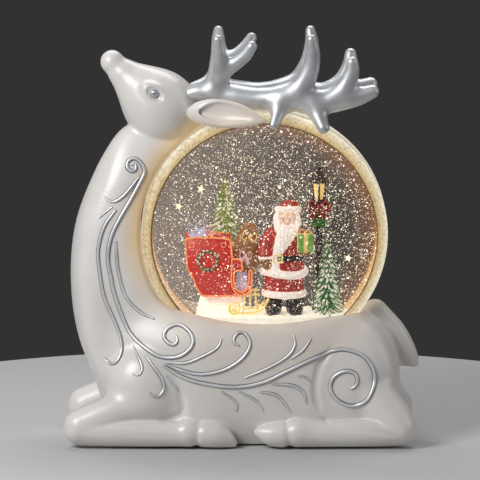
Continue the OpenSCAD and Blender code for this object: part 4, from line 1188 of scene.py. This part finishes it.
def garland():
    rng = np.random.default_rng(11)
    a = rng.uniform(0, 2 * np.pi, 260)
    h = rng.uniform(54.6, 59.4, 260)
    base = np.stack([2.2 * np.cos(a), 2.2 * np.sin(a), h], 1)
    d = np.stack([1.5 * np.cos(a), np.sin(a), rng.normal(-0.1, 0.5, 260)], 1)
    body = lathe([(0, 54), (2.6, 54.4), (3.3, 57), (2.6, 59.4), (0, 59.8)], sides=20)
    p, f = join([spikes(base, d, rng.uniform(2.4, 5.6, 260), 0.42), body])
    return p + LAMP, f


piece("lamp_column", *lamp(), BLACK, replaces=["lamp_post"], slot="painted_black")
piece("lamp_panes", *lathe([(0, 71.2), (3.3, 71.3), (4.95, 82.2), (0, 82.4)], LAMP, 6), AMBER, smooth=False,
      replaces=["lamp_glass"], slot="lamp_amber")
piece("lamp_garland", *garland(), GREEN, smooth=False, slot="painted_green")
puffs = [ball(LAMP + (3.9 * s, -3.9, 67.4), (3.9, 1.8, 3.5), 24, 14) for s in (-1, 1)]
piece("lamp_ribbon", *join(puffs + [bow(LAMP + (0, -4.6, 66.4), 6.2, 7.4, 0.9, fall=0.8)]), BOW_RED,
      replaces=["lamp_bow"], slot="painted_red")


# ---- the sleigh and its load ----

SIDE = [(-35.5, 128.5), (-28, 129.2), (-18, 129.2), (-7.6, 128.5), (-6.6, 121), (-6.2, 115.8),
        (-0.5, 115.4), (0.4, 108.6), (-5.0, 108.2), (-5.2, 101), (-3.6, 96.2), (-0.4, 94.4), (2.8, 96.0),
        (4.4, 101), (4.5, 108.4), (6.1, 108.4), (6.2, 99), (4.0, 94.2), (0, 92.4), (-12, 92.2), (-25, 92.3),
        (-28.5, 97.5), (-30.4, 103), (-34.2, 109.5), (-35, 119)]
SLEIGH_Y = (-15.0, 9.0)


def edge_tube(outline, y, r):
    """A closed bead round an outline, softened at its corners."""
    p = np.array([(x, y, z) for x, z in outline])
    n = len(p)
    t = np.linspace(0, n, 10 * n, endpoint=False)
    i = t.astype(int)
    w = (t - i)[:, None]
    q = p[i % n] * (1 - w) + p[(i + 1) % n] * w
    for _ in range(3):
        q = 0.5 * q + 0.25 * (np.roll(q, 1, 0) + np.roll(q, -1, 0))
    return tube(q, r, 8, loop=True)


def sleigh():
    near, far = SLEIGH_Y
    sides = [slab(SIDE, near, near + 1.5), slab(SIDE, far - 1.5, far)]
    wall = [(-35.0, 127.5), (-34.4, 119), (-33.6, 109.6), (-29.8, 103.2), (-27.6, 97.8), (-24.6, 93.2),
            (-12, 93.1), (0, 93.3), (3.4, 94.8), (5.3, 99.2), (5.3, 107.8)]
    skin = spline([(x, (near + far) / 2, z) for x, z in wall], 60)
    tub = strap(skin, far - near - 1.0, 1.5, (0, 1, 0))
    bench = block((-22, -3, 108), (20, 21.4, 1.6), 0.5)
    return join(sides + [tub, bench])


def sleigh_trim():
    near, far = SLEIGH_Y
    parts = [edge_tube(SIDE, y, 0.62) for y in (near - 0.1, far + 0.1)]
    for y in (near - 0.15, far + 0.15):
        seat = [(-6.2, y, 115.6), (-6.6, y, 108), (-6.7, y, 101), (-5, y, 95.6), (-1.6, y, 92.9)]
        parts.append(tube(spline(seat, 30), 0.5, 8))
        for x0, z0 in ((-31.5, 124.6), (-11.5, 124.6)):
            ring = [(x0 + 1.5 * math.cos(k), y, z0 + 1.5 * math.sin(k)) for k in turns(20)]
            parts.append(tube(ring, 0.28, 6, loop=True))
    return join(parts)


def sleigh_wreath():
    rng = np.random.default_rng(21)
    c, r, n = np.array([-21.6, SLEIGH_Y[0] - 0.6, 114.8]), 5.9, 420
    ring = [c + (r * math.cos(a), 0, r * math.sin(a)) for a in turns(48)]
    a = rng.uniform(0, 2 * np.pi, n)
    base = c + np.stack([r * np.cos(a), rng.uniform(-0.7, 0.2, n), r * np.sin(a)], 1)
    d = np.stack([np.cos(a + 0.9) + rng.normal(0, 0.5, n), rng.normal(-0.7, 0.4, n),
                  np.sin(a + 0.9) + rng.normal(0, 0.5, n)], 1)
    leaves = join([tube(ring, 0.9, 8, loop=True), spikes(base, d, rng.uniform(0.9, 1.7, n), 0.26)])
    spots = [ball(c + (r * math.cos(b) + rng.uniform(-0.8, 0.8), -1.1,
                       r * math.sin(b) + rng.uniform(-0.8, 0.8)), rng.uniform(0.45, 0.8), 10, 6)
                       for b in turns(16)]
    return leaves, join(spots)


def runner(y):
    curl = [(-4.2 + (0.9 + 0.37 * k) * math.cos(k + 1.6), y, 84.2 + (0.9 + 0.37 * k) * math.sin(k + 1.6))
            for k in np.linspace(0, 2.9 * np.pi, 44)]
    rail = spline([curl[-1], (-1.6, y, 80.9), (4, y, 80.6), (9, y, 81.6), (13.6, y, 84.6), (16.4, y, 89.6)],
                  24)[1:]
    parts = [tube(np.vstack([curl, rail]), 0.85, 8)]
    for x0, x1 in ((1.0, 2.2), (5.4, 5.6), (10.2, 8.4)):
        parts.append(tube([(x0, y, 80.9 + 0.04 * x0 * x0 * 0.4), ((x0 + x1) / 2 - 0.6, y, 86.6),
                           (x1, y, 92.6)], 0.6, 8))
    parts.append(tube([(3.6, y, 92.7), (9.2, y, 92.9), (10.6, y, 92.6)], 0.7, 8))
    return parts


def sack():
    f = Field((-12, -14, 94), (15, 8, 143), 0.55 * STEP)
    f.limb([(-1.5, -3, 100, 6.2), (-0.4, -3.4, 106, 7.8), (1.6, -3.8, 113.6, 8.8), (3, -3.8, 120.6, 8.8),
            (3.8, -3.6, 125.8, 6.8), (4.0, -3.6, 129, 4.8), (4.2, -3.6, 131.4, 5.6),
            (4.4, -3.6, 133.4, 4.6), (4.6, -3.6, 135.2, 2.6)], 0.5, 0.94, 50)
    x, y, z = f.grid()
    a = np.arctan2(y + 3.7, x - 3.6)
    pleat = 0.42 * np.sin(11 * a + 0.12 * z) * np.exp(-((z - 129.5) / 6.5) ** 2)
    sag = 0.35 * np.sin(3 * a + z * 0.22) * np.exp(-((z - 115) / 12) ** 2)
    f.ripple(pleat + sag)
    return from_field(f)


def present(at, size, yaw, band=1.6):
    """A wrapped box and the ribbons across its sides and lid."""
    x, y, z = size
    box = block((0, 0, 0), size, 0.35)
    r1 = block((0, 0, 0), (band, y + 0.5, z + 0.5), 0.2)
    r2 = block((0, 0, 0), (x + 0.5, band, z + 0.5), 0.2)
    c, s = math.cos(math.radians(yaw)), math.sin(math.radians(yaw))
    turn = np.array([[c, s, 0], [-s, c, 0], [0, 0, 1]])
    ribbons = join([r1, r2])
    return (box[0] @ turn + at, box[1]), (ribbons[0] @ turn + at, ribbons[1])


piece("sleigh_tub", *sleigh(), RED, replaces=["sleigh_body"], slot="painted_red")
piece("sleigh_piping", *sleigh_trim(), ORANGE, slot="painted_gold")
wreath, spots = sleigh_wreath()
piece("sleigh_wreath_leaves", *wreath, GREEN, smooth=False, slot="painted_green")
piece("sleigh_wreath_berries", *spots, PINK, slot="gift_wrap")
piece("sleigh_gilt_runners", *join(runner(-12.5) + runner(6.5)), GOLD, replaces=["sleigh_runners"],
      slot="painted_gold")
piece("toy_sack_cloth", *sack(), BROWN, replaces=["toy_sack"], slot="painted_brown")
tie = lathe([(4.1, 127.9), (4.9, 127.6), (5.3, 128.7), (4.9, 129.8), (4.1, 129.5)], (4.0, -3.6, 0), 28,
            loop=True)
piece("toy_sack_tie", *join([tie, bow((4.6, -9.4, 129.0), 4.4, 4.6, 0.5, 12)]), YELLOW, slot="painted_gold")
piece("toy_sack_rosette", *bow((2.2, -12.4, 117.6), 3.6, 4.4, 0.5, 8), PINK, slot="gift_wrap")
loads = [((-28.0, -7.6, 126.6), (9, 8, 9.6), 8, LILAC, PINK),
         ((-18.2, -5.6, 125.2), (8, 8, 10), -12, RED, YELLOW),
         ((-27.0, 3.4, 125.0), (9.5, 6.4, 12), 4, WRAP, YELLOW),
         ((-0.2, -8.5, 100.8), (6.4, 6.4, 12.4), 6, LILAC, PINK)]
for number, (at, size, yaw, paper, ribbon) in enumerate(loads, 1):
    box, ribbons = present(at, size, yaw)
    piece(f"sleigh_gift_{number}", *box, paper, replaces=["sleigh_gifts"], slot="gift_wrap")
    piece(f"sleigh_gift_{number}_ribbon", *ribbons, ribbon, slot="gift_wrap")
piece("sleigh_gift_1_bow", *bow((-28.6, -9.0, 134.6), 5.2, 6.6, 0.55, -14), LILAC, slot="gift_wrap")
piece("sleigh_gift_2_bow", *bow((-21.4, -8.0, 132.6), 2.6, 5.4, 0.5, 70), PINK, slot="gift_wrap")


# ---- Father Christmas: a generic bearded figure ----

SANTA = np.array([27.0, -4.0, GROUND])
FACE = SANTA + (1.2, -1.6, 61.0)  # middle of the head
FRONT_X = -6.0                    # the coat opens a little to the figure's right


def on_santa(build, lo, hi, fine=0.55):
    f = Field(SANTA + lo, SANTA + hi, fine * STEP)
    build(f)
    return from_field(f)


def at_santa(balls):
    return [(x + SANTA[0], y + SANTA[1], z + SANTA[2], r) for x, y, z, r in balls]


def coat(f):
    f.limb(at_santa([(-0.6, 0, 17, 12.4), (-0.6, 0, 22, 12.0)]), 0, 0.84)
    f.limb(at_santa([(-0.4, 0, 27, 12.8), (-0.2, 0, 33, 11.2), (0, 0, 39, 10.2), (0.2, 0.2, 46, 9.8),
                     (0.3, 0.3, 52, 7.2)]), 1.0, 0.86, 30)
    x, y, z = f.grid()
    a = np.arctan2(y - SANTA[1], x - SANTA[0])
    low = np.clip((SANTA[2] + 36 - z) / 14, 0, 1)
    f.ripple(0.45 * low * np.sin(11 * a))
    f.cut(z - (SANTA[2] + 12.0), 0.8)
    f.limb(at_santa([(-8.2, -0.6, 50.5, 5.0), (-12.2, -3.0, 44.5, 4.9), (-12.6, -6.0, 38.5, 4.2)]), 1.2, n=14)
    f.limb(at_santa([(8.8, -0.6, 50.5, 4.9), (13.4, -3.4, 46.4, 4.6), (14.6, -7.6, 43.6, 3.9)]), 1.2, n=14)


def boots(f):
    for s in (-1, 1):
        x = 6.7 * s - 0.5
        f.limb(at_santa([(x, 0.4, 12, 5.7), (x, 0.2, 6, 5.5), (x, -0.6, 4.0, 5.0)]), 0.4, n=12)
        f.limb(at_santa([(x, -0.6, 3.6, 4.8), (x + 0.5 * s, -6.2, 3.1, 4.3)]), 1.6, n=8)
    z = f.grid()[2]
    f.cut(z - (SANTA[2] + 0.2), 0.4)
    f.cut(SANTA[2] + 13.4 - z, 0.3)


def lumps(f, size, amount):
    x, y, z = f.grid()
    coarse = np.sin(x * size) * np.sin(y * size + 1.3) * np.sin(z * size + 0.7)
    fine = 0.5 * np.sin(2.1 * x * size + 2) * np.sin(1.9 * z * size + y)
    f.ripple(amount * (coarse + fine))


def fur_trim(f):
    a = np.linspace(0, 2 * np.pi, 40)
    for z, rx, thick in ((27.0, 12.9, 2.6), (13.6, 12.2, 2.3)):
        tilt = 0.9 if z > 20 else 0.2
        hem = [(-0.5 + rx * math.cos(k), rx * 0.86 * math.sin(k), z + tilt * math.sin(2 * k + 0.5), thick)
               for k in a]
        f.limb(at_santa(hem), 1.0, n=160)
    f.limb(at_santa([(-4.8, -9.0, 46, 2.0), (-5.6, -9.0, 40, 2.2), (-6.0, -8.6, 36.5, 2.2),
                     (-6.0, -9.4, 32, 2.6), (-6.0, -10.4, 28, 3.0)]), 1.4, 0.6, 24)
    f.limb(at_santa([(-15.2, -6.6, 37.4, 1.9), (-12.6, -9.0, 36.4, 2.0), (-9.9, -6.4, 37.4, 1.9),
                     (-12.6, -4, 38.4, 1.9), (-15.2, -6.6, 37.4, 1.9)]), 0.8, n=30)
    f.limb(at_santa([(12.2, -8.6, 43.0, 1.7), (14.6, -9.0, 46.2, 1.7), (17.2, -8.6, 43.2, 1.7),
                     (14.8, -8.6, 40.6, 1.7), (12.2, -8.6, 43.0, 1.7)]), 0.8, n=30)
    brim = [(1.2 + 5.9 * math.cos(k), -1.2 + 6.0 * math.sin(k), 67.0 - 0.5 * math.sin(k), 2.1) for k in a]
    f.limb(at_santa(brim), 0.8, n=120)
    f.ellipsoid(SANTA + (8.6, 0.2, 67.0), (2.0, 2.0, 2.0), 0.4)
    lumps(f, 2.9, 0.16)


def hair_and_beard(f):
    f.limb(at_santa([(1.0, -6.4, 55.5, 4.6), (0.0, -8.4, 51, 5.4), (-2.0, -9.4, 46.6, 4.6),
                     (-3.6, -9.9, 42.4, 3.2), (-4.6, -10, 39.6, 1.4)]), 0.6, 0.62, 30)
    for s in (-1, 1):
        f.limb(at_santa([(1.2 + 5.9 * s, -1.8, 64, 1.9), (1.2 + 6.2 * s, -3.2, 60, 2.5),
                         (1.2 + 5.0 * s, -5.4, 56, 3.0), (1.2 + 2.8 * s, -7.0, 52.6, 3.4)]), 2.0, n=20)
    x, y, z = f.grid()
    f.ripple(0.24 * np.sin(2.7 * (x - SANTA[0]) + 0.8 * np.sin(0.45 * z) + 0.3 * y))
    f.limb(at_santa([(1.2 - 6.2, 3.5, 60, 2.6), (1.2, 5.8, 58.5, 3.4), (1.2 + 6.2, 3.5, 60, 2.6)]), 1.5, n=14)


def moustache_and_brows():
    parts = []
    for s in (-1, 1):
        whisker = spline([(0.2 * s, -7.6, 56.7, 0.9), (1.9 * s, -7.9, 56.5, 1.25),
                          (3.7 * s, -7.2, 55.6, 0.9), (5.0 * s, -6.2, 55.3, 0.3)], 14)
        parts.append(tube(whisker[:, :3] + SANTA + (1.2, -1.0, 0), whisker[:, 3], 10))
        brow = spline([(1.2 * s, -6.6, 63.0, 0.35), (2.7 * s, -6.6, 63.5, 0.6), (4.2 * s, -5.6, 63.0, 0.3)],
                      10)
        parts.append(tube(brow[:, :3] + SANTA + (1.2, -1.2, 0), brow[:, 3], 8))
    return join(parts)


def face(f):
    f.ellipsoid(FACE, (6.3, 6.2, 7.6), 0.5)
    f.ellipsoid(FACE + (0, -6.0, -2.6), (1.25, 1.5, 1.15), 1.6)
    f.limb([(FACE[0], FACE[1] - 5.6, FACE[2] + 0.6, 0.7), (FACE[0], FACE[1] - 6.3, FACE[2] - 1.9, 0.9)], 1.6)
    for s in (-1, 1):
        f.ellipsoid(FACE + (3.0 * s, -4.6, -2.5), (1.9, 1.6, 1.7), 1.4)
        f.ellipsoid(FACE + (2.6 * s, -6.2, 0.1), (1.5, 1.1, 0.95), 0.8, carve=True)
        f.ellipsoid(FACE + (6.2 * s, 0.4, -0.6), (1.0, 1.4, 1.9), 0.6)


def eyes():
    white = [ball(FACE + (2.6 * s, -5.0, 0.05), (1.25, 0.9, 0.8), 16, 10) for s in (-1, 1)]
    dark = [ball(FACE + (2.55 * s, -5.62, 0.05), (0.62, 0.42, 0.62), 14, 8) for s in (-1, 1)]
    arch = [(2.6 + 1.4 * u, -5.75 + 0.35 * u * u, 0.35 + 0.5 * (1 - u * u)) for u in np.linspace(-1, 1, 7)]
    lids = [tube(spline(arch, 14) * (s, 1, 1) + FACE, 0.24, 8) for s in (-1, 1)]
    smile = spline([(-1.3, -5.5, -4.95), (0, -5.9, -5.15), (1.3, -5.5, -4.95)], 10)
    lip = tube(smile + FACE, [0.2] + [0.42] * 8 + [0.2], 8)
    return join(white), join(dark), join(lids + [lip])


def hat(f):
    f.limb(at_santa([(1.2, -1.0, 65.6, 5.8), (1.6, -0.6, 67.6, 4.9), (3.0, -0.2, 69.4, 3.6),
                     (5.0, 0, 70.0, 2.7), (7.0, 0.2, 69.4, 1.9), (8.4, 0.2, 68.2, 1.5)]), 0.4, n=40)
    x, _, z = f.grid()
    f.cut(z - (SANTA[2] + 65.8), 0.3)
    f.ripple(0.18 * np.sin(1.1 * (z + 0.7 * x)) * (z > SANTA[2] + 68.5))


def belt():
    a = turns(72)
    ring = np.stack([-0.1 + 11.2 * np.cos(a), -0.1 + 10.3 * np.sin(a), 36.7 + 0 * a], 1) + SANTA
    return strap_round(ring, 3.4, 1.2)


def strap_round(ring, high, thick):
    """A band round a closed path, standing upright."""
    mid = ring.mean(0)
    out = (ring - mid) * (1, 1, 0)
    out /= np.linalg.norm(out, axis=1, keepdims=True)
    up = np.array([0, 0, 1.0])
    prof = [(0, -0.5), (0.6, -0.5), (1, -0.36), (1, 0.36), (0.6, 0.5), (0, 0.5)]
    rows = np.stack([ring + out * thick * (u - 0.6) + up * high * v for u, v in prof], 1)
    return rows.reshape(-1, 3), ring_faces(len(ring), len(prof), True)


def buckle():
    c = SANTA + (FRONT_X + 1.5, -10.6, 36.7)
    corners = [c + q for q in ((-2.7, 0.6, 2.3), (2.7, -0.3, 2.3), (2.7, -0.3, -2.3), (-2.7, 0.6, -2.3))]
    dense = [a + (b - a) * u for a, b in zip(corners, corners[1:] + corners[:1])
             for u in np.linspace(0, 1, 6)[:-1]]
    return join([tube(dense, 0.55, 8, loop=True), tube([c + (-0.3, -0.3, 0), c + (2.2, -0.5, 0)], 0.4, 8)])


def mittens(f):
    f.limb(at_santa([(-12.6, -8.2, 35.2, 3.0), (-11.6, -9.0, 32.4, 2.7)]), 0.5, n=6)
    f.limb(at_santa([(-10.6, -9.6, 35.4, 1.2), (-9.4, -9.8, 33.4, 1.1)]), 0.8, n=4)
    f.limb(at_santa([(14.2, -8.8, 42.0, 2.9), (12.0, -10.6, 40.6, 2.7)]), 0.5, n=6)


whites, darks, lids = eyes()
for name, shape, paint, slot, replaced in (
        ("coat", on_santa(coat, (-20, -14, 10), (22, 13, 60)), DEEP_RED, "painted_red", True),
        ("boots", on_santa(boots, (-14, -13, -1), (14, 8, 15)), BLACK, "painted_black", True),
        ("fur", on_santa(fur_trim, (-20, -16, 9), (22, 15, 74)), FUR, "white_plastic", True),
        ("beard", on_santa(hair_and_beard, (-13, -15, 36), (14, 11, 69), 0.45), FUR, "white_plastic", True),
        ("whiskers", moustache_and_brows(), FUR, "white_plastic", True),
        ("face", on_santa(face, (-8, -12, 50), (11, 7, 71), 0.4), SKIN, "painted_brown", True),
        ("hat", on_santa(hat, (-8, -10, 64), (14, 8, 80), 0.5), DEEP_RED, "painted_red", True),
        ("eye_whites", whites, FUR, "white_plastic", False),
        ("eye_irises", darks, BLACK, "painted_black", False),
        ("lids_and_lip", lids, SKIN, "painted_brown", False),
        ("belt", belt(), BLACK, "painted_black", False),
        ("buckle", buckle(), GOLD, "painted_gold", False),
        ("mittens", on_santa(mittens, (-18, -16, 28), (20, -3, 48), 0.5), BROWN, "painted_brown", False)):
    piece("santa_" + name, *shape, paint, replaces=["santa_figure"] if replaced else (), slot=slot)
box, ribbons = present((39.6, -15.5, 126.1), (9.6, 6.6, 11.4), 5, 2.4)
piece("held_gift_box", *box, WRAP, replaces=["held_gift"], slot="gift_wrap")
piece("held_gift_ribbon", *ribbons, YELLOW, slot="gift_wrap")
piece("held_gift_bow", *bow((39.4, -16.2, 132.8), 3.2, 3.4, 0.5), YELLOW, slot="gift_wrap")


# ---- CAD nodes that keep their shape ----

def moulded(name, dark, light):
    return plain_stuff(name, dark, light, (0.38, 0.5), 120.0, 0.06)


CREAM = moulded("base_cream", (0.72, 0.69, 0.62), (0.80, 0.775, 0.71))
WHITE_PLASTIC = moulded("white_acetal", (0.78, 0.78, 0.77), (0.87, 0.87, 0.86))
DARK_PLASTIC = moulded("dark_plastic", (0.035, 0.035, 0.038), (0.07, 0.07, 0.075))
RUBBER = plain_stuff("rubber", (0.010, 0.010, 0.010), (0.028, 0.027, 0.027), (0.7, 0.85), 300.0, 0.3)
STEEL = plain_stuff("zinc_steel", (0.42, 0.43, 0.44), (0.66, 0.67, 0.68), (0.22, 0.4), 380.0, 0.12,
                    metallic=1.0)
SPRING = plain_stuff("nickel_spring", (0.55, 0.53, 0.48), (0.75, 0.73, 0.68), (0.18, 0.3), 400.0, 0.05,
                     metallic=1.0)
MAGNET = plain_stuff("nickel_magnet", (0.50, 0.50, 0.50), (0.68, 0.68, 0.69), (0.12, 0.22), 200.0, 0.03,
                     metallic=1.0)
FERRITE = plain_stuff("ferrite", (0.035, 0.035, 0.038), (0.085, 0.085, 0.09), (0.5, 0.7), 500.0, 0.25)
BRONZE = plain_stuff("sintered_bronze", (0.36, 0.22, 0.08), (0.56, 0.38, 0.16), (0.3, 0.5), 900.0, 0.2,
                     metallic=0.9)
COPPER = plain_stuff("wound_copper", (0.30, 0.10, 0.03), (0.62, 0.27, 0.10), (0.25, 0.42), 600.0, 0.3,
                     metallic=0.85)
JACKET = plain_stuff("cell_jacket", (0.035, 0.035, 0.04), (0.62, 0.30, 0.08), (0.2, 0.34), 26.0, 0.02,
                     coat=0.5)
BOARD = plain_stuff("green_board", (0.010, 0.075, 0.030), (0.025, 0.14, 0.055), (0.25, 0.4), 700.0, 0.15,
                    coat=0.3)
CHIP = plain_stuff("chip_epoxy", (0.012, 0.012, 0.013), (0.03, 0.03, 0.032), (0.45, 0.6), 900.0, 0.15)
LED = plain_stuff("led_dome", (0.95, 0.86, 0.62), (1.0, 0.95, 0.80), (0.08, 0.15), coat=0.6,
                  glow=(1.0, 0.80, 0.45), glow_strength=1.6)
WIRES = [plain_stuff(f"{name}_wire", dark, light, (0.35, 0.5), 200.0, 0.1) for name, dark,
         light in (("red", (0.40, 0.02, 0.015), (0.60, 0.04, 0.03)),
                   ("blue", (0.015, 0.03, 0.32), (0.03, 0.06, 0.50)),
                   ("white", (0.66, 0.66, 0.65), (0.82, 0.82, 0.81)))]
KEPT = (
    (DARK_PLASTIC, "port_plug", "switch_knob"), (RUBBER, "port_oring", "rubber_feet"),
    (STEEL, "impeller_pin", "base_screws", "battery_door_screw", "motor_can", "switch_body"),
    (WHITE_PLASTIC, "impeller", "impeller_guard", "drive_magnet_carrier"),
    (MAGNET, "impeller_magnets", "drive_magnets"), (CREAM, "base_plate", "battery_door", "motor_cradle"),
    (JACKET, "battery_cells"), (SPRING, "battery_springs", "battery_contacts"),
    (FERRITE, "motor_stator_magnets"), (BRONZE, "motor_bush"), (COPPER, "motor_rotor"),
    (BOARD, "led_board", "control_board"), (LED, "led_lamps"), (CHIP, "board_components"),
    (WIRES[0], "battery_leads"), (WIRES[1], "motor_leads"), (WIRES[2], "led_leads"))
for mat, *nodes in KEPT:
    for node in nodes:
        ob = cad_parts[node]
        if not ob.material_slots:
            ob.data.materials.append(mat)
        for entry in ob.material_slots:
            entry.material = mat


# ---- stage, light and camera ----

CAMERA_RISE, CAMERA_AWAY, CAMERA_LENS = 8.5, 3.0, 357.0  # degrees, metres, mm
CAMERA_AIM = Vector((-0.0013, 0, 0.1256))


def aimed(ob, loc, aim):
    ob.location = loc
    ob.rotation_mode = "QUATERNION"
    ob.rotation_quaternion = (Vector(aim) - Vector(loc)).to_track_quat("-Z", "Y")
    return ob


def soft_light(name, loc, aim, size, watts):
    d = bpy.data.lights.new(name, "AREA")
    d.shape = "RECTANGLE"
    d.size, d.size_y = size
    d.energy = watts
    aimed(in_scene(name, d), loc, aim)


def stage():
    bm = bmesh.new()
    bmesh.ops.create_circle(bm, cap_ends=True, segments=128, radius=0.32)
    me = bpy.data.meshes.new("floor")
    bm.to_mesh(me)
    bm.free()
    paint = plain_stuff("floor_paint", (0.50, 0.50, 0.50), (0.52, 0.52, 0.52), (0.55, 0.65), bump=0.0)
    floor = in_scene("floor", me, paint)

    soft_light("key_left", (-0.48, -0.48, 0.54), (-0.03, 0, 0.14), (0.34, 0.34), 4.9)
    soft_light("fill_right", (1.2, -0.3, 0.5), (0, 0, 0.1), (0.4, 0.8), 2.2)
    soft_light("top_back", (0.05, 0.4, 1.0), (0, 0, 0.12), (0.9, 0.35), 5.2)
    bpy.context.scene.view_settings.view_transform = "Standard"
    world = bpy.data.worlds.new("studio")
    bpy.context.scene.world = world
    world.use_nodes = True
    nodes, links = world.node_tree.nodes, world.node_tree.links
    nodes.clear()
    out = nodes.new("ShaderNodeOutputWorld")
    seen, light, mix, path = (nodes.new("ShaderNodeBackground"), nodes.new("ShaderNodeBackground"),
                              nodes.new("ShaderNodeMixShader"), nodes.new("ShaderNodeLightPath"))
    seen.inputs["Color"].default_value = (0.032, 0.032, 0.032, 1)
    light.inputs["Color"].default_value = (0.12, 0.12, 0.125, 1)
    links.new(path.outputs["Is Camera Ray"], mix.inputs[0])
    links.new(light.outputs[0], mix.inputs[1])
    links.new(seen.outputs[0], mix.inputs[2])
    links.new(mix.outputs[0], out.inputs[0])

    cam = bpy.data.cameras.new("camera")
    cam.lens, cam.sensor_width = CAMERA_LENS, 36.0
    cam.clip_end = 20
    rise = math.radians(CAMERA_RISE)
    loc = CAMERA_AIM + CAMERA_AWAY * Vector((0, -math.cos(rise), math.sin(rise)))
    bpy.context.scene.camera = aimed(in_scene("camera", cam), loc, CAMERA_AIM)


stage()
